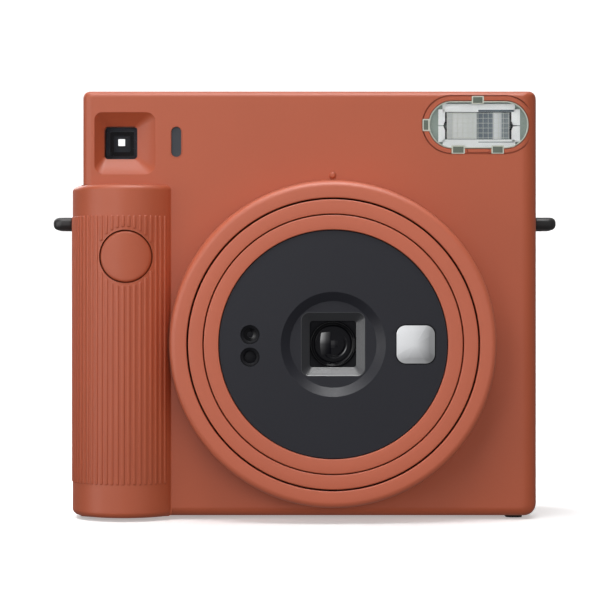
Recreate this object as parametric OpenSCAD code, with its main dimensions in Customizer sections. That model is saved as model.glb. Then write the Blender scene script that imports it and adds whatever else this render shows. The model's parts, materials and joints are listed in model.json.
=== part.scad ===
// Instant film camera with a telescoping lens, made of separate pieces.
// X runs right as seen from the front, Y runs back, Z runs up.
// The lens is drawn in and the camera stands on its four feet.

/* [Body] */
// left edge of the shell
body_left = -62; // [-64:0.1:-60]
// right edge of the shell
body_right = 65; // [62:0.1:67]
// underside of the shell, above the feet
body_low = 1; // [0.5:0.1:3]
// top of the shell
body_high = 119.6; // [115:0.1:124]
// front face of the shell
front_face = -15.5; // [-18:0.1:-12]
// back face of the shell
back_face = 28.75; // [26:0.05:31]
// wall of the shells
wall = 2.2; // [1.5:0.1:3]
// seam between the front and rear shells
seam = 3; // [0:0.5:4]

/* [Grip] */
// centre of the grip curve, left to right
grip_x = -49.8; // [-52:0.1:-48]
// centre of the grip curve, front to back
grip_y = -6.8; // [-8:0.1:-5]
// radius of the smooth grip surface
grip_radius = 15.55; // [13:0.1:17]
// top of the grip
grip_high = 93.3; // [85:0.1:100]
// right edge of the grip
grip_edge = -37.1; // [-40:0.1:-35]
// rear end of the grip side
grip_back = 9.5; // [6:0.1:12]
// lowest point of the ribs
rib_low = 10.2; // [5:0.1:20]
// highest point of the ribs
rib_high = 84.7; // [70:0.1:90]
// angle from one rib to the next
rib_step = 5.8; // [4:0.1:10]
// width of a rib
rib_width = 0.85; // [0.5:0.05:1.2]
// height of a rib
rib_height = 0.35; // [0.2:0.05:0.6]

/* [Lens] */
// lens axis, left to right
lens_x = 7.8; // [5:0.1:11]
// lens axis height
lens_z = 49.15; // [45:0.1:55]
// radius of the dial where it meets the shell
dial_radius = 45.6; // [42:0.1:46.5]
// front plane of the dial and the barrels
lens_front = -28.75; // [-32:0.05:-24]
// radius of the gap inside the dial
dial_gap = 40; // [38:0.1:42]
// outer radius of the middle barrel
mid_radius = 39.55; // [38:0.1:41]
// outer radius of the front barrel
front_radius = 35.3; // [34:0.05:37]
// radius of the dark disc
disc_radius = 31.2; // [28:0.1:33]
// rear end of the barrels when drawn in
barrel_back = -13; // [-15:0.5:-12]

/* [Shutter button] */
// button centre, left to right
button_x = -49.4; // [-53:0.1:-47]
// button centre height
button_z = 73.3; // [65:0.1:80]
// button radius
button_radius = 7.1; // [5:0.05:8]

/* [Film] */
// left inner wall of the film chamber
film_left = -32; // [-34:0.5:-30]
// right inner wall of the film chamber
film_right = 48; // [46:0.5:50]
// inner floor of the film chamber
film_low = 8; // [6:0.5:10]
// inner ceiling of the film chamber
film_high = 100; // [98:0.5:102]
// front wall of the chamber, inner face
film_front = 5; // [4:0.1:7]
// mouth of the film chamber
film_mouth = 24.9; // [23:0.1:25]
// wall of the film chamber
film_wall = 2; // [1.5:0.1:2.5]
// side of the square picture
picture = 62; // [60:1:64]

/* [Film drive] */
// height of the film rollers
roller_z = 106; // [104:0.1:107]
// front roller position
roller_y = 3.9; // [3:0.1:5]
// radius of a roller
roller_radius = 3.2; // [2:0.1:3.25]
// gear tooth size
gear_module = 0.6; // [0.5:0.1:0.8]
// teeth of the small gears
small_teeth = 11; // [9:1:15]
// teeth of the transfer gear
large_teeth = 22; // [18:1:30]

/* [Back cover] */
// hinge line, left to right
cover_hinge_x = 62.4; // [60:0.1:63]
// hinge line, front to back
cover_hinge_y = 26.15; // [25:0.05:27]
// left edge of the cover
cover_left = -36.5; // [-38:0.1:-35]
// lower edge of the cover
cover_low = 4.2; // [3:0.1:6]
// upper edge of the cover
cover_high = 104; // [100:0.1:106]
// inner face of the cover
cover_inner = 26.2; // [25.5:0.05:27]

/* [Battery] */
// cell axis, left to right
cell_x = -51.4; // [-53:0.1:-50]
// cell axis, front to back
cell_y = 18.2; // [16:0.1:19]
// cell radius
cell_radius = 7.8; // [5:0.1:8.5]
// cell length
cell_length = 27; // [20:0.5:34]
// lower end of the first cell
cell_low = 14; // [12:0.5:20]
// hinge line of the battery door, left to right
battery_hinge_x = -60.5; // [-61:0.1:-60]
// hinge line of the battery door, height
battery_hinge_z = 10.9; // [10:0.1:12]

/* [Node] */
// piece to draw

/* [Hidden] */

tiny = 0.01;
round_fn = 96;
mid_fn = 48;

// colours
terracotta = [0.71, 0.40, 0.31];
charcoal = [0.19, 0.20, 0.21];
black = [0.12, 0.12, 0.12];
steel = [0.72, 0.73, 0.75];
clear = [0.80, 0.86, 0.90, 0.5];

// inner faces of the shells
inner_left = body_left + wall;
inner_right = body_right - wall;
inner_low = body_low + wall;
inner_high = body_high - wall;
front_inner = front_face + 2;
back_inner = back_face - wall;

// dial bearing
tube_radius = 42.5;
tube_front = lens_front + 1.65;
tube_back = -9.4;
sleeve_radius = 43.7;
shell_bore = 44;

// centre of the two apertures of the flash
flash_left = 34.55;
flash_right = 62.5;
flash_z = 110.2;
flash_radius = 6.6;

// viewfinder opening
finder_left = -58.7;
finder_right = -41.6;
finder_low = 96.3;
finder_high = 113.7;
tunnel_left = -56.2;
tunnel_right = -46.95;
tunnel_low = 100.8;
tunnel_high = 110;

// film drive places
idler_y = roller_y + 2 * gear_module * small_teeth / 2;
transfer_y = 4.17;
transfer_z = 96.1;
pinion_y = -5.5;
pinion_z = 94;
gear_x = 52.4;
gear_width = 2;
gear_backlash = 0.2;

// film claw
claw_y = 7.5;

// counter wheel
counter_x = -49.5;
counter_z = 84;

// shutter
blade_pivot = 9.5;
blade_cover = 3.2;
aperture = 2.6;

// farthest point of the strap lugs from the middle
lug_tip = 71.9;

// film exit flap
flap_y = 8.6;
flap_z = 118.2;
flap_left = -30.7;
flap_right = 46.7;

/* ---------- helpers ---------- */

// solid between two depths, drawn in X and Z
module along_y(y0, y1) {
  translate([0, y1, 0])
    rotate([90, 0, 0])
      linear_extrude(height = y1 - y0)
        children();
}

// solid between two heights, drawn in X and Y
module along_z(z0, z1) {
  translate([0, 0, z0])
    linear_extrude(height = z1 - z0)
      children();
}

// solid between two places left to right, drawn in Y and Z
module along_x(x0, x1) {
  translate([x0, 0, 0])
    rotate([90, 0, 90])
      linear_extrude(height = x1 - x0)
        children();
}

// what a rounded corner leaves over
module corner_waste(r) {
  difference() {
    translate([-1, -1])
      square(r + 1);
    translate([r, r])
      circle(r, $fn = mid_fn);
  }
}

// rectangle with its own radius at each corner: bottom left, bottom right, top right, top left
module soft_rect(x0, y0, x1, y1, radii) {
  difference() {
    translate([x0, y0])
      square([x1 - x0, y1 - y0]);
    if (radii[0] > 0)
      translate([x0, y0])
        corner_waste(radii[0]);
    if (radii[1] > 0)
      translate([x1, y0])
        mirror([1, 0])
          corner_waste(radii[1]);
    if (radii[2] > 0)
      translate([x1, y1])
        rotate(180)
          corner_waste(radii[2]);
    if (radii[3] > 0)
      translate([x0, y1])
        mirror([0, 1])
          corner_waste(radii[3]);
  }
}

module even_rect(x0, y0, x1, y1, r) {
  soft_rect(x0, y0, x1, y1, [r, r, r, r]);
}

// disc about the lens axis
module lens_circle(r) {
  translate([lens_x, lens_z])
    circle(r, $fn = round_fn);
}

module lens_ring(outer, inner, y0, y1) {
  along_y(y0, y1)
    difference() {
      lens_circle(outer);
      lens_circle(inner);
    }
}

// solid of revolution about the lens axis, drawn as radius and depth
module lens_turned() {
  translate([lens_x, 0, lens_z])
    rotate([-90, 0, 0])
      rotate_extrude($fn = round_fn)
        children();
}

module rod_x(x0, x1, y, z, r) {
  along_x(x0, x1)
    translate([y, z])
      circle(r, $fn = mid_fn);
}

module rod_y(y0, y1, x, z, r) {
  along_y(y0, y1)
    translate([x, z])
      circle(r, $fn = mid_fn);
}

module rod_z(z0, z1, x, y, r) {
  along_z(z0, z1)
    translate([x, y])
      circle(r, $fn = mid_fn);
}

module block(x0, y0, z0, x1, y1, z1) {
  translate([x0, y0, z0])
    cube([x1 - x0, y1 - y0, z1 - z0]);
}

module stadium(x0, x1, z, r) {
  translate([x0 + r, z - r])
    square([x1 - x0 - 2 * r, 2 * r]);
  for (x = [x0 + r, x1 - r])
    translate([x, z])
      circle(r, $fn = mid_fn);
}

// outer form of the body between two depths, shrunk by an inset
module body_form(y0, y1, inset) {
  front = front_face + (inset > 0 ? 2 : 0);
  rear = back_face - inset;
  intersection() {
    along_y(y0, y1)
      soft_rect(body_left + inset, body_low + inset, body_right - inset, body_high - inset,
        [max(2.3 - inset, 0.5), max(3.5 - inset, 0.5), max(2 - inset, 0.5), max(1.6 - inset, 0.5)]);
    along_z(0, body_high + 1)
      soft_rect(body_left + inset, front, body_right - inset, rear,
        [max(3 - inset, 0.5), max(5 - inset, 0.5), max(2.6 - inset, 0.5), max(2.2 - inset, 0.5)]);
    along_x(body_left - 1, body_right + 1)
      soft_rect(front, body_low + inset, rear, body_high - inset,
        [max(2.5 - inset, 0.5), max(2 - inset, 0.5), max(2 - inset, 0.5), max(1.8 - inset, 0.5)]);
  }
}

// wire coil along Z
function coil_point(i, steps, r, wire, rise, a) =
  let (t = i * 360 / steps)
    [(r + wire * cos(a)) * cos(t), (r + wire * cos(a)) * sin(t), rise * i / steps + wire * sin(a)];

module coil(r, wire, pitch, turns) {
  steps = 20;
  sides = 8;
  rings = steps * turns;
  points = [
    for (i = [0 : rings])
      for (k = [0 : sides - 1])
        coil_point(i, steps, r, wire, pitch, k * 360 / sides)
  ];
  skin = [
    for (i = [0 : rings - 1])
      for (k = [0 : sides - 1])
        [
          i * sides + k,
          (i + 1) * sides + k,
          (i + 1) * sides + (k + 1) % sides,
          i * sides + (k + 1) % sides
        ]
  ];
  first = [for (k = [0 : sides - 1]) k];
  last = [for (k = [sides - 1 : -1 : 0]) rings * sides + k];
  polyhedron(points, concat(skin, [first], [last]));
}

// tabs of the flash window, let into the band round it
module flash_tabs(grow) {
  for (t = [[46.6, 116, 50, 118.2], [32.9, 108.4, 35.8, 111.8], [41, 102.1, 44.7, 104.4], [52.1, 102.1, 55.6, 104.4]])
    translate([t[0] - grow, t[1] - grow])
      square([t[2] - t[0] + 2 * grow, t[3] - t[1] + 2 * grow]);
}

/* ---------- shells ---------- */

module front_shell() {
  color(terracotta)
    difference() {
      union() {
        difference() {
          body_form(front_face, seam, 0);
          difference() {
            body_form(front_inner, seam + 1, wall);
            // ring round the lens opening that stiffens the front
            lens_ring(shell_bore + 1.2, shell_bore, front_inner - tiny, front_inner + 0.2);
          }
        }
        // index bump above the dial
        translate([lens_x, front_face + 0.2, lens_z + dial_radius + 1.3])
          sphere(r = 1, $fn = mid_fn);
      }
      along_y(front_face - 2, front_inner + 1)
        lens_circle(shell_bore);
      along_y(front_face - 2, front_inner + 1) {
        even_rect(finder_left, finder_low, finder_right, finder_high, 2);
        translate([-35.8, 0])
          rotate(90)
            stadium(100.9, 109.9, 0, 1.7);
        stadium(flash_left, flash_right, flash_z, flash_radius);
      }
      // groove that sets off the flash
      along_y(front_face - 1, front_face + 0.5)
        difference() {
          stadium(32.75, 64, flash_z, 8.2);
          stadium(33.05, 63.7, flash_z, 7.9);
        }
      along_y(front_face - 1, front_face + 0.8)
        flash_tabs(0.05);
      // way through to the grip
      block(-59.9, front_face - 1, 8, -40.1, front_inner + 1, 90);
      // screw holes in the underside
      for (x = [-30, 45])
        rod_z(body_low - 1, inner_low + 1, x, -6, 0.9);
      for (x = [-30, 45])
        rod_z(body_low - 1, body_low + 1.1, x, -6, 1.7);
    }
}

module grip_profile(r) {
  intersection() {
    union() {
      translate([grip_x, grip_y])
        circle(r, $fn = round_fn);
      translate([grip_x - r, grip_y])
        square([r, grip_back - grip_y]);
    }
    translate([-80, -40])
      square([80 + grip_edge, 80]);
  }
}

module grip_outline() {
  along_y(-30, grip_back)
    soft_rect(-70, body_low, -30, grip_high, [0, 0, 0, 0]);
}

module grip_ribs() {
  for (a = [-13 : 9])
    translate([grip_x, grip_y, rib_low])
      rotate([0, 0, (a - 1) * rib_step])
        translate([-rib_width / 2, -grip_radius - rib_height, 0])
          cube([rib_width, 1, rib_high - rib_low]);
}

module grip_cover() {
  color(terracotta)
    difference() {
      union() {
        intersection() {
          difference() {
            along_z(body_low, grip_high)
              grip_profile(grip_radius);
            // hollow behind the curve
            along_z(body_low + 2, grip_high - 2)
              intersection() {
                grip_profile(grip_radius - 2);
                translate([-61.9, -40])
                  square([22.5, 80]);
              }
          }
          along_y(-30, grip_back)
            soft_rect(grip_x - grip_radius, body_low, grip_edge, grip_high, [2.3, 0, 0, 1.6]);
        }
        difference() {
          grip_ribs();
          rod_y(-30, 0, button_x, button_z, 8.3);
        }
        // sleeve that guides the button
        intersection() {
          rod_y(-30, -15.2, button_x, button_z, 9.3);
          along_z(0, grip_high)
            grip_profile(grip_radius - 1);
        }
      }
      block(body_left, front_face, -1, 0, 40, 130);
      rod_y(-30, 0, button_x, button_z, button_radius + 0.25);
      // clear of the dial
      along_y(-30, 0)
        lens_circle(dial_radius + 0.35);
    }
}

module rear_shell() {
  color(terracotta)
    difference() {
      union() {
        difference() {
          body_form(seam, back_face, 0);
          body_form(seam - 1, back_inner, wall);
        }
        // shelf over the cover
        block(cover_left - 2.3, 20, cover_high + 0.6, inner_right + 0.5, back_inner + 0.5, cover_high + 2.4);
        // sill under the cover
        block(cover_left - 2.3, 20, inner_low - 0.5, inner_right + 0.5, back_inner + 0.5, cover_low - 0.3);
        // post beside the cover
        block(cover_left - 2.3, 20, inner_low - 0.5, cover_left - 0.3, back_inner + 0.5, cover_high + 2.4);
        // bosses for the flap pin
        for (x = [flap_left - 1.8, flap_right + 0.3])
          block(x, flap_y - 1.8, 116.4, x + 1.5, flap_y + 1.8, inner_high + 0.5);
        // boss for the battery door pin
        block(inner_left - 0.5, 7.6, 9, inner_left + 1.3, 9.9, 12.7);
        // bearing of the counter wheel
        rod_y(25.9, back_inner + 0.5, counter_x, counter_z, 2);
        rod_y(23.6, 26, counter_x, counter_z, 0.95);
      }
      // room for the film cover and its rounded hinge corner
      block(cover_left - 0.3, back_inner - 2, cover_low - 0.3, 70, 40, cover_high + 0.3);
      block(inner_right - 3, 23.25, cover_low - 0.3, 70, 40, cover_high + 0.3);
      // notch for the nose of the lock, open to the rear
      block(-40, 23.6, 47, cover_left, 40, 58);
      // pin of the cover
      rod_z(2.2, 106.8, cover_hinge_x, cover_hinge_y, 1);
      // film slot
      block(flap_left - 0.3, 5, 110, flap_right + 0.3, flap_y + 1.1, 130);
      rod_x(flap_left - 1.2, flap_right + 1.2, flap_y, flap_z, 0.85);
      // eyepiece
      along_y(20, 40)
        even_rect(-58.4, 99.4, -44.8, 111.4, 2);
      // counter window
      rod_y(20, 40, counter_x, counter_z + 5, 2.6);
      // battery opening and its pin
      block(-70, 9.9, 9.1, inner_left + 0.4, 26.45, 72.6);
      rod_y(8.2, 27.6, battery_hinge_x, battery_hinge_z, 0.8);
      // screw holes in the underside
      for (x = [-30, 45])
        rod_z(body_low - 1, inner_low + 1, x, 15, 0.9);
      for (x = [-30, 45])
        rod_z(body_low - 1, body_low + 1.1, x, 15, 1.7);
    }
}

module case_screws() {
    for (x = [-30, 45])
      for (y = [-6, 15])
        difference() {
          union() {
            rod_z(body_low, body_low + 1.1, x, y, 1.7);
            rod_z(body_low + 1.1, 5.9, x, y, 0.9);
          }
          block(x - 1, y - 0.2, body_low - 1, x + 1, y + 0.2, body_low + 0.5);
          block(x - 0.2, y - 1, body_low - 1, x + 0.2, y + 1, body_low + 0.5);
        }
}

/* ---------- film box and light path ---------- */

module film_chamber() {
  color(black)
    difference() {
      union() {
        block(film_left - film_wall, film_front - film_wall, film_low - film_wall,
          film_right + film_wall, film_mouth, film_high + film_wall);
        // legs under the box
        for (x = [-30, 45])
          difference() {
            block(x - 2.5, 3, inner_low, x + 2.5, 18, film_low - film_wall + tiny);
            rod_z(0, 6.3, x, 15, 0.9);
          }
        // front feet
        for (x = [-30, 45])
          difference() {
            block(x - 2.5, -8.5, inner_low, x + 2.5, film_front - film_wall + tiny, film_low - 1);
            rod_z(0, 6.3, x, -6, 0.9);
          }
      }
      block(film_left, film_front, film_low, film_right, 40, film_high);
      // picture opening
      block(lens_x - picture / 2, -20, lens_z - picture / 2, lens_x + picture / 2, 20, lens_z + picture / 2);
      // slot the sheet leaves by
      block(film_left + 2, film_front + 0.4, film_high - 1, film_right - 2, film_front + 4, film_high + 5);
      // slot of the claw
      block(film_left - 5, claw_y - 1.4, 17, film_left + 1, claw_y + 1.4, 29);
    }
}

module door_seal() {
  color(black)
    along_y(film_mouth, cover_inner - 0.25)
      difference() {
        even_rect(film_left - 1.7, film_low - 1.7, film_right + 1.7, film_high + 1.7, 1);
        even_rect(film_left - 0.3, film_low - 0.3, film_right + 0.3, film_high + 0.3, 0.5);
      }
}

module light_tunnel() {
  color(black)
    difference() {
      union() {
        along_y(tube_back, tube_back + 1.8)
          even_rect(lens_x - 39, lens_z - 39, lens_x + 39, lens_z + 39, 8);
        block(lens_x - 33, tube_back, lens_z - 33, lens_x + 33, film_front - film_wall, lens_z + 33);
      }
      block(lens_x - picture / 2, -20, lens_z - picture / 2, lens_x + picture / 2, 20, lens_z + picture / 2);
      for (a = [45 : 90 : 315])
        rod_y(-20, tube_back + 3, lens_x + 50 * cos(a), lens_z + 50 * sin(a), 0.9);
    }
}

module lens_mount() {
  color(black)
    difference() {
      union() {
        lens_ring(tube_radius, dial_gap, tube_front, tube_back);
        lens_ring(45.4, dial_gap, tube_back - 1.6, tube_back);
        for (a = [45 : 90 : 315])
          translate([lens_x, 0, lens_z])
            rotate([0, -a, 0])
              block(43, tube_back - 1.6, -2.8, 52.8, tube_back, 2.8);
      }
      // straight slots that guide the pins of the middle barrel
      for (a = [30, 150, 270])
        translate([lens_x, 0, lens_z])
          rotate([0, -a, 0])
            block(dial_gap - 2, -26, -1.2, tube_radius + 0.3, -14, 1.2);
      for (a = [45 : 90 : 315])
        rod_y(-20, 0, lens_x + 50 * cos(a), lens_z + 50 * sin(a), 0.9);
    }
}

module mount_screws() {
    for (a = [45 : 90 : 315])
      difference() {
        union() {
          rod_y(tube_back - 2.6, tube_back - 1.6, lens_x + 50 * cos(a), lens_z + 50 * sin(a), 1.7);
          rod_y(tube_back - 1.6, tube_back + 2.9, lens_x + 50 * cos(a), lens_z + 50 * sin(a), 0.9);
        }
        translate([lens_x + 50 * cos(a), tube_back - 2.6, lens_z + 50 * sin(a)])
          cube([2.4, 0.9, 0.5], center = true);
      }
}

module screws() {
  color(steel) {
    case_screws();
    mount_screws();
  }
}

/* ---------- lens assembly ---------- */

module lens_dial() {
  taper = 1.1;
  color(terracotta)
    difference() {
      lens_turned()
        polygon([
            [dial_gap, lens_front],
            [dial_radius - taper - 1.4, lens_front],
            [dial_radius - taper - 0.42, lens_front + 0.42],
            [dial_radius - taper, lens_front + 1.4],
            [dial_radius, front_face - 0.2],
            [sleeve_radius, front_face - 0.2],
            [sleeve_radius, -13.2],
            [tube_radius + 0.08, -13.2],
            [tube_radius + 0.08, tube_front - 0.15],
            [dial_gap, tube_front - 0.15]
        ]);
      // notch that carries the position mark
      translate([lens_x, lens_front, lens_z + 43])
        cube([0.6, 0.4, 3], center = true);
    }
}

module dial_retainer() {
  color(steel)
    difference() {
      lens_ring(45.4, tube_radius + 0.3, -13.2, -12.3);
      translate([lens_x, -13, lens_z - 44])
        cube([3, 4, 6], center = true);
    }
}

module middle_barrel() {
  color(terracotta)
    difference() {
      union() {
        lens_ring(mid_radius, front_radius + 0.3, lens_front, barrel_back);
        for (a = [30, 150, 270])
          translate([lens_x, 0, lens_z])
            rotate([0, -a, 0])
              rod_x(mid_radius - 1, 42, -15.5, 0, 1);
      }
      // slots for the pins of the front barrel
      for (a = [90, 210, 330])
        translate([lens_x, 0, lens_z])
          rotate([0, -a, 0])
            block(front_radius - 1, -25.5, -1.2, 38, -14, 1.2);
    }
}

module front_barrel() {
  color(terracotta)
    union() {
      lens_ring(front_radius, 33, lens_front, barrel_back);
      lens_ring(33.5, disc_radius + 0.1, lens_front, lens_front + 2.5);
      for (a = [90, 210, 330])
        translate([lens_x, 0, lens_z])
          rotate([0, -a, 0])
            rod_x(front_radius - 1, 37.6, -15.5, 0, 1);
    }
}

module mirror_outline(grow) {
  even_rect(lens_x + 22.5 - 5.22 - grow, lens_z - 5.22 - grow,
    lens_x + 22.5 + 5.22 + grow, lens_z + 5.22 + grow, 2.3 + grow);
}

sensor_offset = [-22.7, 2.68, -3.43];

module lens_fascia() {
  face = lens_front + 0.5;
  back = lens_front + 2.5;
  color(charcoal)
    difference() {
      union() {
        lens_ring(disc_radius, 5, face, back + tiny);
        lens_ring(32.9, 5, back, back + 1);
      }
      // cone down to the hood
      lens_turned()
        polygon([[0, face - 1], [14.8, face - 1], [14.3, face], [11.85, back - 0.3], [11.85, back + 2], [0, back + 2]]);
      along_y(face - 1, face + 1.3)
        mirror_outline(0.1);
      for (i = [1, 2])
        rod_y(face - 1, back + 2, lens_x + sensor_offset[0], lens_z + sensor_offset[i], 2.6);
    }
}

module lens_hood() {
  h = 8.8;
  color(charcoal)
    difference() {
      along_y(lens_front + 2.2, -22.3)
        even_rect(lens_x - h, lens_z - h, lens_x + h, lens_z + h, 2.2);
      // step by step narrower towards the lens
      for (s = [0 : 5])
        along_y(lens_front + 1.5 + s * 0.8, -22)
          even_rect(lens_x - 8.5 + s * 0.4, lens_z - 8.5 + s * 0.4,
            lens_x + 8.5 - s * 0.4, lens_z + 8.5 - s * 0.4, 2);
    }
}

module lens_board() {
  color(black)
    difference() {
      union() {
        lens_ring(32.9, 9.5, -20, -18.2);
        lens_ring(9.6, 7.75, -22.3, -18.2);
        // flange the hood stands on
        lens_ring(12.6, 9.5, -22.3, -20);
      }
      for (a = [45 : 90 : 315])
        rod_y(-30, 0, lens_x + 26 * cos(a), lens_z + 26 * sin(a), 2.5);
    }
}

module lens_cell() {
  color(black)
    lens_turned()
      polygon([
        [4.6, -24], [5.2, -24], [5.6, -23.4], [6.35, -23.4], [6.35, -22.3], [7.7, -22.3],
        [7.7, -18.2], [3.4, -18.2], [3.4, -19.4], [4.4, -19.6], [4.4, -23]
      ]);
}

module front_lens() {
  color(clear)
    intersection() {
      lens_ring(4.35, 0, -23.6, -19.65);
      translate([lens_x, -13.5, lens_z])
        sphere(r = 9.9, $fn = round_fn);
    }
}

module rear_lens() {
  color(clear)
    intersection() {
      lens_ring(5.2, 0, -14, -11.2);
      translate([lens_x, -21, lens_z])
        sphere(r = 9.6, $fn = round_fn);
    }
}

module selfie_mirror() {
  color(steel)
    intersection() {
      along_y(-28.2, -26.95)
        mirror_outline(0);
      translate([lens_x + 22.5, 11.8, lens_z])
        sphere(r = 40, $fn = 720);
    }
}

module sensor_windows() {
  color(clear)
    for (i = [1, 2])
      rod_y(lens_front + 0.8, lens_front + 1.8, lens_x + sensor_offset[0], lens_z + sensor_offset[i], 2.58);
}

module sensor_housing() {
  color(black)
    difference() {
      along_y(-25.25, -20)
        even_rect(lens_x - 27.3, lens_z - 7, lens_x - 18.5, lens_z + 6.2, 1);
      for (i = [1, 2])
        rod_y(-26, -22, lens_x + sensor_offset[0], lens_z + sensor_offset[i], 2);
    }
}

module shutter_housing() {
  color(black)
    difference() {
      union() {
        lens_ring(14, aperture, -18.2, -17.2);
        lens_ring(14, 12.8, -17.2, -15.1);
        lens_ring(14, aperture + 0.6, -15.1, -14.1);
        lens_ring(7, 5.25, -14.1, -11.2);
        for (s = [-1, 1])
          rod_y(-18, -14.5, lens_x + s * blade_pivot, lens_z, 0.8);
      }
    }
}

module blade(pivot, y0, y1) {
  reach = -pivot;
  along_y(y0, y1)
    translate([lens_x + pivot, lens_z])
      difference() {
        union() {
          circle(1.8, $fn = mid_fn);
          translate([reach, 0])
            circle(blade_cover, $fn = mid_fn);
          translate([min(0, reach), -1.4])
            square([abs(reach), 2.8]);
        }
        circle(0.85, $fn = mid_fn);
      }
}

module shutter_blade_a() {
  color(steel)
    blade(-blade_pivot, -16.85, -16.45);
}

module shutter_blade_b() {
  color(steel)
    blade(blade_pivot, -15.9, -15.5);
}

/* ---------- button ---------- */

module shutter_button() {
  color(terracotta)
    difference() {
      union() {
        intersection() {
          rod_y(-30, -14.9, button_x, button_z, button_radius);
          along_z(0, 130)
            translate([grip_x, grip_y])
              circle(grip_radius - 0.1, $fn = round_fn);
        }
        rod_y(-14.9, -13.9, button_x, button_z, 8.9);
        rod_y(-13.9, -2.7, button_x, button_z, 2);
      }
      // hollow behind the cap
      difference() {
        rod_y(-20, -13.5, button_x, button_z, 6);
        rod_y(-20, -13.5, button_x, button_z, 2);
      }
    }
}

module button_spring() {
  color(steel)
    translate([button_x, -14.4, button_z])
      rotate([-90, 0, 0])
        coil(3.4, 0.3, 1.9, 5);
}

module shutter_switch() {
  color(black)
    union() {
      block(button_x - 4, 0, button_z - 4, button_x + 4, 2.4, button_z + 4);
      rod_y(-1, 0.1, button_x, button_z, 1.5);
    }
}

module main_board() {
  color([0.12, 0.30, 0.20])
    difference() {
      union() {
        block(inner_left + 0.3, 2.4, 12, -36, 4, 92);
        // chips
        block(-50, 0.6, 44, -40, 2.4, 54);
        block(-56, 1.2, 30, -48, 2.4, 36);
        for (z = [16 : 6 : 28])
          block(-44, 1, z, -40, 2.4, z + 3);
        rod_y(-4, 2.4, -54, 60, 3);
      }
      for (z = [14, 90])
        rod_y(0, 5, -38, z, 1);
    }
}

/* ---------- viewfinder ---------- */

module viewfinder_bezel() {
  color(terracotta)
    difference() {
      along_y(front_face + 0.3, -9.5)
        even_rect(finder_left + 0.05, finder_low + 0.05, finder_right - 0.05, finder_high - 0.05, 2);
      // funnel in steps
      for (s = [0 : 9])
        along_y(front_face - 1 + s * 0.55, 0)
          even_rect(
            finder_left + 0.8 + s * 0.22, finder_low + 0.8 + s * 0.34,
            finder_right - 0.8 - s * 0.44, finder_high - 0.8 - s * 0.34, 1.5);
    }
}

module viewfinder_tube() {
  color(black)
    difference() {
      along_y(-9.5, 24)
        even_rect(tunnel_left - 1.5, tunnel_low - 1.5, tunnel_right + 1.5, tunnel_high + 1.5, 1);
      along_y(-10, 25)
        even_rect(tunnel_left, tunnel_low, tunnel_right, tunnel_high, 0.8);
    }
}

module finder_lens(y0, y1) {
  along_y(y0, y1)
    even_rect(tunnel_left + 0.02, tunnel_low + 0.02, tunnel_right - 0.02, tunnel_high - 0.02, 0.78);
}

module objective_lens() {
  color(clear)
    difference() {
      finder_lens(-9.2, -6.8);
      translate([(tunnel_left + tunnel_right) / 2, 4.7, (tunnel_low + tunnel_high) / 2])
        sphere(r = 12.4, $fn = round_fn);
    }
}

module eyepiece_lens() {
  color(clear)
    intersection() {
      finder_lens(20.5, 23.6);
      translate([(tunnel_left + tunnel_right) / 2, 6.6, (tunnel_low + tunnel_high) / 2])
        sphere(r = 16.8, $fn = round_fn);
    }
}

module eyepiece_frame() {
  color(black)
    difference() {
      along_y(24, back_face)
        even_rect(-58.3, 99.5, -44.9, 111.3, 2);
      along_y(23, 40)
        even_rect(tunnel_left + 1, tunnel_low + 1, tunnel_right - 1, tunnel_high - 1, 1);
      along_y(back_face - 1.2, 40)
        even_rect(tunnel_left - 0.4, tunnel_low - 0.2, tunnel_right + 0.4, tunnel_high + 0.2, 1.4);
    }
}

module light_sensor_window() {
  color(charcoal)
    along_y(front_face + 0.3, front_inner)
      translate([-35.8, 0])
        rotate(90)
          stadium(100.95, 109.85, 0, 1.65);
}

/* ---------- flash ---------- */

module flash_window() {
  color(clear)
    union() {
      along_y(front_face + 0.05, front_inner)
        stadium(flash_left + 0.05, flash_right - 0.05, flash_z, flash_radius - 0.05);
      along_y(front_face + 0.05, front_face + 0.75)
        flash_tabs(0);
    }
}

module flash_frame() {
  color([0.9, 0.9, 0.9])
    difference() {
      along_y(front_inner, front_inner + 1)
        even_rect(36, 103.7, 60.4, 116.7, 1.5);
      along_y(-20, 0)
        even_rect(38.4, 105.7, 59.6, 114.7, 0.6);
    }
}

module flash_reflector() {
  color(steel)
    difference() {
      along_y(front_inner + 1, -5)
        even_rect(37.2, 103.9, 60.4, 116.5, 1);
      along_x(38.4, 59.6)
        even_rect(front_inner - 2, 105.7, front_inner + 6, 114.7, 1.4);
    }
}

module flash_tube() {
  color(clear)
    rod_x(38.4, 59.6, -9.2, flash_z, 1.2);
}

module flash_capacitor() {
  color(black)
    rod_x(-30, 2, -6.8, 111.6, 5.5);
}

/* ---------- film drive ---------- */

module gear_outline(teeth, phase) {
  pitch_r = gear_module * teeth / 2;
  root_r = pitch_r - 1.15 * gear_module;
  tip_r = pitch_r + 0.75 * gear_module;
  half = (3.1416 * gear_module / 2 - gear_backlash) / 2;
  circle(root_r, $fn = mid_fn);
  for (i = [0 : teeth - 1])
    rotate(phase + i * 360 / teeth)
      polygon([
        [root_r - 0.3, -half * 1.35],
        [root_r, -half * 1.35],
        [pitch_r, -half],
        [tip_r, -half * 0.5],
        [tip_r, half * 0.5],
        [pitch_r, half],
        [root_r, half * 1.35],
        [root_r - 0.3, half * 1.35]
      ]);
}

// phase of a gear that meshes with another
function mesh_phase(from, to, from_teeth, to_teeth, from_phase) =
  let (line = atan2(to[1] - from[1], to[0] - from[0]))
    line + 180 + 360 / to_teeth * (0.5 - (from_phase - line) * from_teeth / 360);

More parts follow.
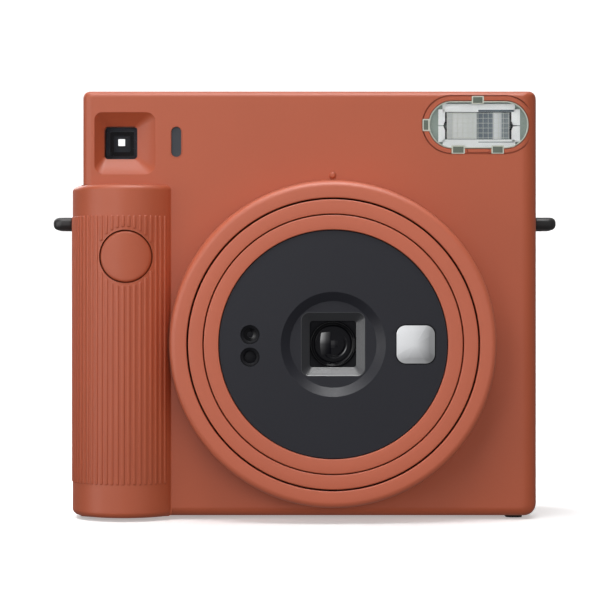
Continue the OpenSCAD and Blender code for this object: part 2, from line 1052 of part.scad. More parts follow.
drive_at = [roller_y, roller_z];
idler_at = [idler_y, roller_z];
transfer_at = [transfer_y, transfer_z];
pinion_at = [pinion_y, pinion_z];
idler_phase = mesh_phase(drive_at, idler_at, small_teeth, small_teeth, 0);
transfer_phase = mesh_phase(drive_at, transfer_at, small_teeth, large_teeth, 0);
pinion_phase = mesh_phase(transfer_at, pinion_at, large_teeth, small_teeth, transfer_phase);

module roller(y, phase) {
  rod_x(-30, 46, y, roller_z, roller_radius);
  rod_x(-36.4, gear_x + tiny, y, roller_z, 1);
  along_x(gear_x, gear_x + gear_width)
    translate([y, roller_z])
      gear_outline(small_teeth, phase);
}

module drive_roller() {
  color(steel)
    roller(roller_y, 0);
}

module idler_roller() {
  color(steel)
    roller(idler_y, idler_phase);
}

module transfer_gear() {
  color([0.9, 0.9, 0.85])
    along_x(gear_x, gear_x + gear_width)
      translate([transfer_y, transfer_z])
        difference() {
          gear_outline(large_teeth, transfer_phase);
          circle(1.05, $fn = mid_fn);
        }
}

module motor_pinion() {
  color([0.8, 0.65, 0.3])
    union() {
      along_x(gear_x, gear_x + gear_width)
        translate([pinion_y, pinion_z])
          gear_outline(small_teeth, pinion_phase);
      rod_x(49.2, gear_x + tiny, pinion_y, pinion_z, 0.8);
    }
}

module drive_motor() {
  color(steel)
    difference() {
      union() {
        rod_x(28, 49.6, pinion_y, pinion_z, 5);
        rod_x(49.6, 50.4, pinion_y, pinion_z, 2.4);
      }
      rod_x(48, 60, pinion_y, pinion_z, 0.85);
    }
}

module roller_bracket() {
  color(steel)
    difference() {
      union() {
        // bar on the film box
        block(-36, -1.2, 102, 51.6, 16, 102.6);
        for (x = [-36, 50.4])
          block(x, -1.2, 102, x + 1.2, 16, 109.4);
        // side plate that carries the gears and the motor
        block(50.4, -11, 88.5, 51.6, 12, 103);
        rod_x(51.4, gear_x + gear_width + 0.3, transfer_y, transfer_z, 1);
      }
      rod_x(40, 60, pinion_y, pinion_z, 1.4);
      block(film_left + 1.5, film_front + 0.2, 100, film_right - 1.5, film_front + 4.2, 104);
      for (y = [roller_y, idler_y])
        rod_x(-40, 60, y, roller_z, 1.05);
    }
}

module film_claw() {
  color(steel)
    union() {
      block(-35.6, claw_y - 1, 20, -34.6, claw_y + 1, 60);
      block(-35.6, claw_y - 1, 20, film_left - 0.3, claw_y + 1, 21.5);
    }
}

module exit_flap() {
  color(black)
    union() {
      rod_x(flap_left - 0.9, flap_right + 0.9, flap_y, flap_z, 0.8);
      block(flap_left, 5.3, flap_z, flap_right, flap_y, flap_z + 0.8);
    }
}

/* ---------- counter ---------- */

module counter_wheel() {
  color([0.93, 0.93, 0.9])
    difference() {
      along_y(23.9, 25.5)
        translate([counter_x, counter_z])
          difference() {
            circle(8, $fn = round_fn);
            circle(1, $fn = mid_fn);
          }
      // ten marks round the rim
      for (i = [0 : 9])
        translate([counter_x, 25.5, counter_z])
          rotate([0, i * 33, 0])
            translate([0, 0, 6.2])
              cube([0.5 + 0.05 * i, 0.5, 2], center = true);
    }
}

module counter_window() {
  color(clear)
    rod_y(26.6, 28.4, counter_x, counter_z + 5, 2.58);
}

/* ---------- back cover ---------- */

module back_cover() {
  color(terracotta)
    difference() {
      along_z(cover_low, cover_high)
        difference() {
          union() {
            translate([cover_left, cover_inner])
              square([cover_hinge_x - cover_left, back_face - cover_inner]);
            translate([cover_hinge_x, cover_hinge_y])
              circle(2.6, $fn = mid_fn);
          }
          translate([cover_hinge_x, cover_hinge_y])
            circle(1.05, $fn = mid_fn);
        }
      // window that shows the film pack
      along_y(20, 40)
        even_rect(40, 24, 45, 38, 1.2);
      // guide of the lock, wider inside than outside
      block(-35, 20, 46, -31, 40, 60);
      block(-40, 20, 45.5, -30.2, cover_inner + 0.9, 60.5);
    }
}

module film_window() {
  color(clear)
    along_y(26.6, 28.4)
      even_rect(40.03, 24.03, 44.97, 37.97, 1.17);
}

module pressure_springs() {
  color(steel)
    for (x = [-18, 34])
      union() {
        block(x - 3, 25.9, 30, x + 3, cover_inner, 70);
        block(x - 2, 25.4, 44, x + 2, 26, 56);
      }
}

module cover_lock() {
  color(charcoal)
    difference() {
      union() {
        block(-34.8, cover_inner + 0.1, 48.3, -31.2, back_face - 0.4, 53.7);
        block(-38.3, cover_inner + 0.05, 49.5, -34, cover_inner + 0.75, 52.5);
        block(-36, cover_inner + 0.05, 48.3, -30.5, cover_inner + 0.75, 53.7);
      }
      for (z = [49.3 : 1.1 : 53])
        block(-36, back_face - 0.7, z, -30, 40, z + 0.5);
    }
}

/* ---------- battery ---------- */

module battery_cradle() {
  color(black)
    difference() {
      intersection() {
        rod_z(cell_low - 3, cell_low + 2 * cell_length + 3, cell_x, cell_y, cell_radius + 1.6);
        block(cell_x + 1.5, 5, 0, -40, back_inner, 100);
      }
      rod_z(cell_low - 1.5, cell_low + 2 * cell_length + 1.5, cell_x, cell_y, cell_radius + 0.3);
    }
}

module battery_cells() {
  color([0.25, 0.35, 0.55])
    for (i = [0, 1])
      translate([0, 0, cell_low + i * cell_length]) {
        rod_z(0.15, cell_length - 1.2, cell_x, cell_y, cell_radius);
        rod_z(cell_length - 1.3, cell_length - 0.15, cell_x, cell_y, 3);
      }
}

module battery_contacts() {
  color(steel)
    union() {
      block(cell_x - 5, cell_y - 5, cell_low - 0.3, cell_x + 1.4, cell_y + 5, cell_low + 0.1);
      block(cell_x - 5, cell_y - 5, cell_low + 2 * cell_length, cell_x + 1.4, cell_y + 5,
        cell_low + 2 * cell_length + 0.4);
    }
}

module battery_door() {
  color(terracotta)
    difference() {
      union() {
        block(body_left, 10.2, battery_hinge_z, body_left + 2, 26.15, 72.3);
        rod_y(10.2, 26.15, battery_hinge_x, battery_hinge_z, 1.5);
      }
      rod_y(0, 40, battery_hinge_x, battery_hinge_z, 0.85);
      // finger notch
      rod_y(14, 22, body_left - 1.2, 70.4, 2);
    }
}

module hinge_pins() {
  color(steel) {
    rod_z(2.2, 106.8, cover_hinge_x, cover_hinge_y, 1);
    rod_y(8.2, 27.6, battery_hinge_x, battery_hinge_z, 0.8);
  }
}

/* ---------- outside fittings ---------- */

module lug_outline(reach) {
  difference() {
    soft_rect(0, -3, reach, 9, [0, 2.8, 2.8, 0]);
    even_rect(1.5, -0.3, 3.6, 6.3, 1);
  }
}

module strap_lugs() {
  color(black)
    along_z(81.3, 84.9) {
      translate([body_right, 0])
        lug_outline(lug_tip - body_right);
      translate([grip_x - grip_radius, 0])
        mirror([1, 0])
          lug_outline(lug_tip + grip_x - grip_radius);
    }
}

module feet() {
  color(black)
    along_z(0, body_low)
      for (y = [-9.5, 19])
        {
          even_rect(-53.5, y, -45.8, y + 5, 1.5);
          even_rect(56.7, y, 61.4, y + 5, 1.5);
        }
}

/* ---------- choice of piece ---------- */

front_shell();
grip_cover();
rear_shell();
film_chamber();
door_seal();
light_tunnel();
lens_mount();
screws();
viewfinder_bezel();
viewfinder_tube();
objective_lens();
eyepiece_lens();
eyepiece_frame();
light_sensor_window();
flash_window();
flash_reflector();
flash_tube();
flash_frame();
flash_capacitor();
main_board();
shutter_switch();
drive_motor();
roller_bracket();
battery_cradle();
battery_cells();
battery_contacts();
battery_door();
hinge_pins();
strap_lugs();
feet();
counter_window();
lens_dial();
dial_retainer();
middle_barrel();
front_barrel();
lens_fascia();
lens_hood();
lens_board();
lens_cell();
front_lens();
rear_lens();
selfie_mirror();
sensor_windows();
sensor_housing();
shutter_housing();
shutter_blade_a();
shutter_blade_b();
shutter_button();
button_spring();
back_cover();
pressure_springs();
film_window();
cover_lock();
exit_flap();
drive_roller();
idler_roller();
transfer_gear();
motor_pinion();
film_claw();
counter_wheel();
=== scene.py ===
import json
import math
import bmesh
import bpy
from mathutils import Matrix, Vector


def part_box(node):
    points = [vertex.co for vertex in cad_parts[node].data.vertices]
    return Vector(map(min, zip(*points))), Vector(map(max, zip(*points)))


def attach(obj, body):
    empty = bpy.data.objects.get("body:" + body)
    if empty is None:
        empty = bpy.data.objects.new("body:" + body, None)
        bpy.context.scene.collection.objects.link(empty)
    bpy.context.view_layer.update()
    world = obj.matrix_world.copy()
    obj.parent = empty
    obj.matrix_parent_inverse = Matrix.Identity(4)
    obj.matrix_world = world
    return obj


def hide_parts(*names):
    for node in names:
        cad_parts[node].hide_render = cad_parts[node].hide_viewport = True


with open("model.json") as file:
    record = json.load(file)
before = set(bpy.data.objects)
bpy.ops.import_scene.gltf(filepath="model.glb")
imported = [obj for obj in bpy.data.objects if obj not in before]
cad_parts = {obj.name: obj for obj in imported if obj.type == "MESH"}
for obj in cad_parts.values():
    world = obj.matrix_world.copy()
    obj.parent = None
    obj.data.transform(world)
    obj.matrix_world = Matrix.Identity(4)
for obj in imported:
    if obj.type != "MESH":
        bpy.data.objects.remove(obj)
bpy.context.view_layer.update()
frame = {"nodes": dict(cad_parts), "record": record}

MM = 0.001


def mm_box(node):
    lo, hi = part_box(node)
    return [v / MM for v in lo], [v / MM for v in hi]


# ---------------------------------------------------------------- places from the frame
dial_lo, dial_hi = mm_box("lens_dial")
LX = (dial_lo[0] + dial_hi[0]) / 2
LZ = (dial_lo[2] + dial_hi[2]) / 2
LENS_FRONT = dial_lo[1]
rear_lo, rear_hi = mm_box("rear_shell")
LEFT, RIGHT = rear_lo[0], rear_hi[0]
LOW, HIGH = rear_lo[2], rear_hi[2]
BACK = rear_hi[1]
SEAM = mm_box("front_shell")[1][1]
FACE = -15.5      # front face of the body
WALL = 2.2        # thickness of the shells
grip_lo, grip_hi = mm_box("grip_cover")
button_lo, button_hi = mm_box("shutter_button")
BX = (button_lo[0] + button_hi[0]) / 2
BZ = (button_lo[2] + button_hi[2]) / 2
cover_lo, cover_hi = mm_box("back_cover")
finder_lo, finder_hi = mm_box("viewfinder_bezel")
tube_lo, tube_hi = mm_box("viewfinder_tube")
lug_lo, lug_hi = mm_box("strap_lugs")
flash_lo, flash_hi = mm_box("flash_tube")
FZ = (flash_lo[2] + flash_hi[2]) / 2
FL, FR = 34.6, 62.45   # ends of the flash window


# ---------------------------------------------------------------- materials
def nodes_of(name):
    m = bpy.data.materials.new(name)
    m.use_nodes = True
    nt = m.node_tree
    bsdf = nt.nodes["Principled BSDF"]
    return m, nt, bsdf


def noise(nt, scale, detail=3.0, rough=0.5):
    tc = nt.nodes.new("ShaderNodeTexCoord")
    n = nt.nodes.new("ShaderNodeTexNoise")
    n.inputs["Scale"].default_value = scale
    n.inputs["Detail"].default_value = detail
    n.inputs["Roughness"].default_value = rough
    nt.links.new(tc.outputs["Object"], n.inputs["Vector"])
    return n


def ramp(nt, source, stops):
    r = nt.nodes.new("ShaderNodeValToRGB")
    while len(r.color_ramp.elements) < len(stops):
        r.color_ramp.elements.new(0.5)
    for e, (p, c) in zip(r.color_ramp.elements, stops):
        e.position = p
        e.color = (*c, 1) if len(c) == 3 else c
    nt.links.new(source, r.inputs["Fac"])
    return r


def bump(nt, bsdf, source, strength, distance):
    b = nt.nodes.new("ShaderNodeBump")
    b.inputs["Strength"].default_value = strength
    b.inputs["Distance"].default_value = distance
    nt.links.new(source, b.inputs["Height"])
    nt.links.new(b.outputs["Normal"], bsdf.inputs["Normal"])


def shade(c, k):
    return tuple(min(1.0, v * k) for v in c)


def plastic(name, colour, rough, grain, depth, vary, spec):
    m, nt, bsdf = nodes_of(name)
    soft = noise(nt, 28.0, 4.0)
    tones = [(0.3, shade(colour, 1 - vary)), (0.7, shade(colour, 1 + vary))]
    r = ramp(nt, soft.outputs["Fac"], tones)
    nt.links.new(r.outputs["Color"], bsdf.inputs["Base Color"])
    fine = noise(nt, grain, 2.0, 0.6)
    rr = ramp(nt, fine.outputs["Fac"], [(0.25, (rough * 0.88,) * 3), (0.75, (min(1, rough * 1.12),) * 3)])
    nt.links.new(rr.outputs["Color"], bsdf.inputs["Roughness"])
    bump(nt, bsdf, fine.outputs["Fac"], depth, 0.00004)
    bsdf.inputs["Specular IOR Level"].default_value = spec
    return m


def metal(name, colour, rough, scale=(6.0, 900.0, 6.0), depth=0.12):
    m, nt, bsdf = nodes_of(name)
    tc = nt.nodes.new("ShaderNodeTexCoord")
    mp = nt.nodes.new("ShaderNodeMapping")
    mp.inputs["Scale"].default_value = scale
    n = nt.nodes.new("ShaderNodeTexNoise")
    n.inputs["Scale"].default_value = 1.0
    n.inputs["Detail"].default_value = 3.0
    nt.links.new(tc.outputs["Object"], mp.inputs["Vector"])
    nt.links.new(mp.outputs["Vector"], n.inputs["Vector"])
    r = ramp(nt, n.outputs["Fac"], [(0.3, shade(colour, 0.9)), (0.7, shade(colour, 1.05))])
    nt.links.new(r.outputs["Color"], bsdf.inputs["Base Color"])
    rr = ramp(nt, n.outputs["Fac"], [(0.3, (rough * 0.75,) * 3), (0.7, (min(1, rough * 1.3),) * 3)])
    nt.links.new(rr.outputs["Color"], bsdf.inputs["Roughness"])
    bump(nt, bsdf, n.outputs["Fac"], depth, 0.00003)
    bsdf.inputs["Metallic"].default_value = 1.0
    return m


def glass(name, colour, rough, trans=1.0, ior=1.45):
    m, nt, bsdf = nodes_of(name)
    n = noise(nt, 60.0, 2.0)
    r = ramp(nt, n.outputs["Fac"], [(0.3, shade(colour, 0.97)), (0.7, shade(colour, 1.03))])
    nt.links.new(r.outputs["Color"], bsdf.inputs["Base Color"])
    rr = ramp(nt, n.outputs["Fac"], [(0.3, (rough * 0.8,) * 3), (0.7, (rough * 1.2,) * 3)])
    nt.links.new(rr.outputs["Color"], bsdf.inputs["Roughness"])
    bsdf.inputs["Transmission Weight"].default_value = trans
    bsdf.inputs["IOR"].default_value = ior
    return m


SHELL = plastic("shell_plastic", (0.425, 0.087, 0.034), 0.48, 1500, 0.22, 0.03, 0.55)
RING = plastic("ring_plastic", (0.510, 0.115, 0.054), 0.48, 1500, 0.22, 0.03, 0.6)
FASCIA = plastic("fascia_plastic", (0.0105, 0.0108, 0.0170), 0.50, 1800, 0.25, 0.06, 0.48)
HOOD = plastic("hood_plastic", (0.014, 0.0145, 0.019), 0.38, 1800, 0.2, 0.06, 1.0)
BLACK = plastic("black_plastic", (0.020, 0.019, 0.020), 0.42, 1600, 0.3, 0.08, 0.5)
DEEP = plastic("deep_black", (0.004, 0.004, 0.006), 0.6, 1600, 0.3, 0.1, 0.2)
NAVY = plastic("finder_navy", (0.006, 0.008, 0.016), 0.35, 1200, 0.1, 0.1, 0.35)
GLOSS_BLACK = plastic("gloss_black", (0.003, 0.003, 0.004), 0.16, 700, 0.04, 0.1, 0.28)
RUBBER = plastic("foot_rubber", (0.020, 0.020, 0.020), 0.8, 1800, 0.5, 0.1, 0.3)
FOAM = plastic("seal_foam", (0.02, 0.02, 0.02), 0.95, 900, 0.9, 0.2, 0.1)
WHITE = plastic("white_plastic", (0.84, 0.85, 0.84), 0.35, 1500, 0.2, 0.02, 0.5)
SHADE = plastic("flash_surround", (0.30, 0.36, 0.32), 0.3, 900, 0.1, 0.06, 0.5)
SHADE_DARK = plastic("flash_strip", (0.10, 0.13, 0.15), 0.3, 900, 0.1, 0.06, 0.5)
FROST = plastic("frosted_edge", (0.56, 0.58, 0.50), 0.3, 900, 0.1, 0.05, 0.5)
TAB = plastic("tab_green_grey", (0.115, 0.140, 0.110), 0.3, 900, 0.1, 0.12, 0.5)
BOARD = plastic("circuit_board", (0.02, 0.12, 0.05), 0.35, 900, 0.3, 0.2, 0.5)
CELL = plastic("cell_wrap", (0.03, 0.09, 0.28), 0.25, 900, 0.1, 0.1, 0.5)
STEEL = metal("brushed_steel", (0.62, 0.63, 0.65), 0.32)
BRASS = metal("turned_brass", (0.72, 0.52, 0.22), 0.3)
CHROME = metal("reflector_chrome", (0.78, 0.79, 0.80), 0.12, (40, 40, 40), 0.03)
MIRROR = metal("mirror_silver", (0.90, 0.91, 0.93), 0.035, (20, 20, 20), 0.0)
CLEAR = glass("clear_plastic", (0.96, 0.97, 0.98), 0.03, ior=1.30)
SMOKED = glass("smoked_window", (0.060, 0.065, 0.074), 0.08, trans=0.0)
LENS = glass("coated_lens", (0.004, 0.004, 0.006), 0.012, trans=0.0, ior=1.47)
FINDER_GLASS = glass("finder_glass", (0.97, 0.97, 0.97), 0.03, ior=1.08)
BY_SLOT = {
    "shell": SHELL, "black": BLACK, "foam": FOAM, "screw": STEEL, "lens_glass": CLEAR, "smoked": SMOKED,
    "clear": CLEAR, "reflector": CHROME, "white": WHITE, "board": BOARD, "steel": STEEL, "cell": CELL,
    "rubber": RUBBER, "fascia": FASCIA, "mirror": MIRROR, "brass": BRASS,
}


# ---------------------------------------------------------------- mesh helpers, all in mm
def mesh_object(name, verts, faces, sharp=32.0):
    bm = bmesh.new()
    vs = [bm.verts.new([c * MM for c in v]) for v in verts]
    for f in faces:
        try:
            bm.faces.new([vs[i] for i in f])
        except ValueError:
            pass
    bmesh.ops.remove_doubles(bm, verts=bm.verts, dist=1e-7)
    bmesh.ops.recalc_face_normals(bm, faces=bm.faces)
    me = bpy.data.meshes.new(name)
    bm.to_mesh(me)
    bm.free()
    o = bpy.data.objects.new(name, me)
    bpy.context.collection.objects.link(o)
    smooth(o, sharp)
    return o


def smooth(o, sharp=32.0):
    for p in o.data.polygons:
        p.use_smooth = True
    o.data.set_sharp_from_angle(angle=math.radians(sharp))


def freeze(o):
    """Applies the modifiers."""
    dg = bpy.context.evaluated_depsgraph_get()
    me = bpy.data.meshes.new_from_object(o.evaluated_get(dg))
    o.modifiers.clear()
    old = o.data
    o.data = me
    bpy.data.meshes.remove(old)
    return o


def cut(o, *tools, op="DIFFERENCE"):
    """Cuts the tools out of o, or joins them to it when op is UNION."""
    for t in tools:
        m = o.modifiers.new("cut", "BOOLEAN")
        m.operation = op
        m.solver = "EXACT"
        m.object = t
        freeze(o)
        bpy.data.objects.remove(t)
    return o


def weigh_normals(o, weight=50):
    m = o.modifiers.new("normals", "WEIGHTED_NORMAL")
    m.keep_sharp = True
    m.weight = weight


def edge(o, width, segments=3, angle=38.0, sharp=32.0):
    m = o.modifiers.new("edge", "BEVEL")
    m.width = width * MM
    m.segments = segments
    m.limit_method = "ANGLE"
    m.angle_limit = math.radians(angle)
    m.miter_outer = "MITER_ARC"
    m.harden_normals = False
    freeze(o)
    smooth(o, sharp)
    weigh_normals(o, 80)
    return o


def done(o, mat, body, slot, *replaced):
    o.data.materials.clear()
    o.data.materials.append(mat)
    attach(o, body)
    if replaced:
        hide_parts(*replaced)
    return o


def arc_points(points, n=6):
    """Rounds the corners of a closed outline. Each point is (x, y, radius)."""
    out = []
    count = len(points)
    for i, (x, y, r) in enumerate(points):
        p = Vector((x, y))
        a = Vector(points[i - 1][:2]) - p
        b = Vector(points[(i + 1) % count][:2]) - p
        if r <= 0 or a.length < 1e-9 or b.length < 1e-9:
            out.append((x, y))
            continue
        a.normalize()
        b.normalize()
        half = math.acos(max(-1, min(1, a.dot(b)))) / 2
        if half < 1e-3 or abs(half - math.pi / 2) < 1e-3:
            out.append((x, y))
            continue
        reach = r / math.tan(half)
        centre = p + (a + b).normalized() * (r / math.sin(half))
        start = p + a * reach - centre
        turn = math.pi - 2 * half
        sign = -1 if a.cross(b) > 0 else 1
        for k in range(n + 1):
            t = sign * turn * k / n
            x_turned = start.x * math.cos(t) - start.y * math.sin(t)
            y_turned = start.x * math.sin(t) + start.y * math.cos(t)
            v = Vector((x_turned, y_turned))
            out.append((centre.x + v.x, centre.y + v.y))
    return out


def lathe(name, profile, segments, n, x=None, z=None, sharp=32.0):
    """Turns a closed outline of (radius, depth, corner radius) about the lens axis."""
    x = LX if x is None else x
    z = LZ if z is None else z
    pts = arc_points(profile, n)
    verts, faces = [], []
    count = len(pts)
    for i in range(segments):
        a = 2 * math.pi * i / segments
        for r, y in pts:
            verts.append((x + r * math.cos(a), y, z + r * math.sin(a)))
    for i in range(segments):
        j = (i + 1) % segments
        for k in range(count):
            m = (k + 1) % count
            faces.append((i * count + k, i * count + m, j * count + m, j * count + k))
    return mesh_object(name, verts, faces, sharp)


def loft(name, rings, closed=False, sharp=32.0):
    """Skins rings of (x, y, z); closed joins the last ring to the first, else both ends are capped."""
    count = len(rings[0])
    verts = [p for r in rings for p in r]
    faces = []
    total = len(rings)
    for i in range(total if closed else total - 1):
        j = (i + 1) % total
        for k in range(count):
            m = (k + 1) % count
            faces.append((i * count + k, i * count + m, j * count + m, j * count + k))
    if not closed:
        faces.append(tuple(range(count)))
        faces.append(tuple(range((total - 1) * count, total * count)))
    return mesh_object(name, verts, faces, sharp)


def rect(x0, z0, x1, z1, r, n=8):
    if not isinstance(r, (list, tuple)):
        r = [r] * 4
    return arc_points([(x0, z0, r[0]), (x1, z0, r[1]), (x1, z1, r[2]), (x0, z1, r[3])], n)


def stadium(x0, x1, zc, r, n=20):
    return rect(x0, zc - r, x1, zc + r, r * 0.9999, n)


def oval(xc, z0, z1, r, n=16):
    return rect(xc - r, z0, xc + r, z1, r * 0.9999, n)


def circle(xc, zc, r, n=96):
    angles = [2 * math.pi * i / n for i in range(n)]
    return [(xc + r * math.cos(a), zc + r * math.sin(a)) for a in angles]


def prism(name, outline, y0, y1, sharp=32.0):
    return loft(name, [[(a, y, b) for a, b in outline] for y in (y0, y1)], sharp=sharp)


def prism_z(name, outline, z0, z1, sharp=32.0):
    return loft(name, [[(a, b, z) for a, b in outline] for z in (z0, z1)], sharp=sharp)


def block(name, x0, y0, z0, x1, y1, z1):
    return prism(name, [(x0, z0), (x1, z0), (x1, z1), (x0, z1)], y0, y1)


def ring_prism(name, outer, inner, y0, y1):
    """Outer and inner outlines with the same number of points."""
    rings = [
        [(a, y0, b) for a, b in outer], [(a, y1, b) for a, b in outer],
        [(a, y1, b) for a, b in inner], [(a, y0, b) for a, b in inner],
    ]
    return loft(name, rings, closed=True)


def body_block(name, inset=0.0, y0=None):
    """The body's box with a different radius on each edge."""
    x0, x1 = LEFT + inset, RIGHT - inset
    ya = (FACE if y0 is None else y0) + (2.0 if inset else 0)
    yb = BACK - inset
    z0, z1 = LOW + inset, HIGH - inset
    verts = [(x, y, z) for x in (x0, x1) for y in (ya, yb) for z in (z0, z1)]
    faces = [(0, 1, 3, 2), (4, 6, 7, 5), (0, 4, 5, 1), (2, 3, 7, 6), (0, 2, 6, 4), (1, 5, 7, 3)]
    o = mesh_object(name, verts, faces)
    bm = bmesh.new()
    bm.from_mesh(o.data)
    layer = bm.edges.layers.float.new("bevel_weight_edge")
    largest = 5.0
    for e in bm.edges:
        m = (e.verts[0].co + e.verts[1].co) / 2 / MM
        left, right = abs(m.x - x0) < 0.01, abs(m.x - x1) < 0.01
        front, rear = abs(m.y - ya) < 0.01, abs(m.y - yb) < 0.01
        low, high = abs(m.z - z0) < 0.01, abs(m.z - z1) < 0.01
        r = 1.5
        if left and front:
            r = 2.6
        elif right and front:
            r = 4.6
        elif left and rear:
            r = 2.2
        elif right and rear:
            r = 2.6
        elif high and front:
            r = 1.8
        elif low and front:
            r = 2.6
        elif high and rear:
            r = 2.0
        elif low and rear:
            r = 2.0
        elif high and left:
            r = 1.7
        elif high and right:
            r = 2.1
        elif low and right:
            r = 3.4
        elif low and left:
            r = 2.3
        e[layer] = max(0.3, r - inset) / largest
    bm.to_mesh(o.data)
    bm.free()
    b = o.modifiers.new("round", "BEVEL")
    b.limit_method = "WEIGHT"
    b.width = largest * MM
    b.segments = 9
    b.use_clamp_overlap = True
    freeze(o)
    smooth(o, 30)
    return o


# ---------------------------------------------------------------- shells
SENSOR_X = -35.8          # middle of the oval light sensor window
SENSOR_LOW, SENSOR_HIGH = 100.9, 109.9
BEYOND = 90               # past the body on any side, for cutting blocks
FRONT_CUT = (FACE - 3, FACE + 4)   # through the front wall
REAR_CUT = (20, 45)                # through the rear wall
# the four tabs round the flash window: top, left and two below
TABS = (
    (46.6, 116.0, 50.0, 118.2),
    (32.9, 108.4, 34.9, 111.8),
    (41.0, 102.1, 44.7, 104.4),
    (52.1, 102.1, 55.6, 104.4),
)


def finder_outline(grow):
    radii = [2.6 + grow, 2.9 + grow, 2.6 + grow, 2.2 + grow]
    return rect(
        finder_lo[0] - 0.05 - grow, finder_lo[2] - 0.05 - grow,
        finder_hi[0] + 0.05 + grow, finder_hi[2] + 0.05 + grow, radii, 10)


front = body_block("front_body")
cut(front, block("c", -BEYOND, SEAM - 0.06, -10, BEYOND, 60, 140))
cut(front, body_block("c2", WALL))
cut(
    front,
    # lens opening, light sensor window, flash window, opening under the grip
    prism("c", circle(LX, LZ, 44.0, 160), *FRONT_CUT),
    prism("c", oval(SENSOR_X, SENSOR_LOW, SENSOR_HIGH, 1.7), *FRONT_CUT),
    prism("c", stadium(FL - 0.2, FR + 0.2, FZ, 6.75), *FRONT_CUT),
    block("c", -59.9, FRONT_CUT[0], 8, -40.1, FRONT_CUT[1], 90),
)
edge(front, 0.22, 3)
front.modifiers.clear()
cut(front, prism("c", finder_outline(0.0), *FRONT_CUT))
# the groove round the flash window, and the outline of a bar between the lower tabs
groove = (stadium(32.66, 64.11, FZ, 8.28), stadium(33.06, 63.71, FZ, 7.88))
cut(front, ring_prism("c", *groove, FACE - 1, FACE + 0.8))
bar_outline = (rect(45.2, 102.3, 51.6, 103.95, 0.5), rect(45.45, 102.5, 51.35, 103.75, 0.4))
cut(front, ring_prism("c", *bar_outline, FACE - 1, FACE + 0.5))
for x0, z0, x1, z1 in TABS:
    cut(front, block("c", x0 - 0.06, FACE - 1, z0 - 0.06, x1 + 0.06, FACE + 0.8, z1 + 0.06))
smooth(front, 30)
weigh_normals(front)
done(front, SHELL, "camera_body", "shell", "front_shell")

rear = body_block("rear_body")
cut(rear, block("c", -BEYOND, -60, -10, BEYOND, SEAM + 0.06, 140))
cut(rear, body_block("c2", WALL, -60))
door_l = cover_lo[0]
# shelf over the film door, sill under it and post beside it, which reach into the walls by this much
BITE = 0.5
jamb_l, jamb_r, jamb_back = door_l - 2.3, RIGHT - WALL + BITE, BACK - WALL + BITE
jamb_low, jamb_high = LOW + WALL - BITE, cover_hi[2] + 2.4
cut(
    rear,
    block("j1", jamb_l, 20, cover_hi[2] + 0.6, jamb_r, jamb_back, jamb_high),
    block("j2", jamb_l, 20, jamb_low, jamb_r, jamb_back, cover_lo[2] - 0.3),
    block("j3", jamb_l, 20, jamb_low, door_l - 0.3, jamb_back, jamb_high),
    op="UNION",
)
cut(
    rear,
    # room for the film door and its rounded hinge corner
    block("c", door_l - 0.3, BACK - WALL - 2, cover_lo[2] - 0.3, 75, 45, cover_hi[2] + 0.3),
    block("c", RIGHT - WALL - 3, 23.25, cover_lo[2] - 0.3, 75, 45, cover_hi[2] + 0.3),
    # notch for the nose of the lock, open to the rear
    block("c", -40, 23.6, 47, door_l, 45, 58),
    # slot for the film, eyepiece, counter window, battery opening
    block("c", -31.0, 5, 110, 47.0, 9.7, 130),
    prism("c", rect(-58.4, 99.4, -44.8, 111.4, 2), *REAR_CUT),
    prism("c", circle(-49.5, 89, 2.6, 48), *REAR_CUT),
    block("c", -75, 9.9, 9.1, LEFT + WALL + 0.4, 26.45, 72.6),
)
# screw holes in the underside
cut(rear, *[prism_z("c", circle(x, 15, 1.7, 32), LOW - 1, LOW + 1.1) for x in (-30, 45)])
edge(rear, 0.18, 2)
done(rear, SHELL, "camera_body", "shell", "rear_shell")

# index bump above the dial
INDEX_UP = 46.9
index = lathe("index_bump", [
    (0, FACE - 0.75, 0), (0.55, FACE - 0.68, 0.3), (0.95, FACE - 0.3, 0.3),
    (1.05, FACE + 0.3, 0), (0, FACE + 0.3, 0)], 48, 5, LX, LZ + INDEX_UP)
done(index, SHELL, "camera_body", "shell")

# ---------------------------------------------------------------- grip
GY = -6.8                    # middle of the grip's round front, with GX
GR = GY - grip_lo[1] - 0.35  # its radius
GX = grip_lo[0] + GR
G_END = math.radians(51.5)   # where the round front meets the body
G_JOIN = -62.15              # inner edge of the grip, behind the left wall


def grip_ring(inset, z):
    r = GR - inset
    rear_y = grip_hi[1] - inset
    pts = [(G_JOIN, rear_y), (GX - r + 0.5, rear_y), (GX - r, rear_y - 0.5), (GX - r, 2.0)]
    for i in range(49):
        a = -math.pi / 2 + (G_END + math.pi / 2) * i / 48
        pts.append((GX + r * math.sin(a), GY - r * math.cos(a)))
    # small hollow blend down to the front of the body
    ex, ey = pts[-1]
    for k in range(1, 6):
        t = k / 5
        pts.append((ex + 0.85 * t, ey + (FACE + 0.05 - ey) * (1 - (1 - t) ** 2)))
    pts.append((-45, FACE + 0.05))
    pts.append((G_JOIN, FACE + 0.05))
    return [(x, y, z) for x, y in pts]


rings = []
R_TOP, R_LOW = 1.5, 1.6
for k in range(7):
    t = math.pi / 2 * k / 6
    rings.append(grip_ring(R_LOW * (1 - math.sin(t)), LOW + R_LOW * (1 - math.cos(t))))
for k in range(7):
    t = math.pi / 2 * k / 6
    rings.append(grip_ring(R_TOP * (1 - math.cos(t)), grip_hi[2] - R_TOP * (1 - math.sin(t))))
grip = loft("grip", rings)
cut(grip, prism("c", circle(BX, BZ, 7.37, 128), -40, 5))
cut(grip, prism("c", circle(LX, LZ, 45.95, 200), -40, FACE + 0.2))
edge(grip, 0.18, 2, 50)
done(grip, SHELL, "camera_body", "shell", "grip_cover")

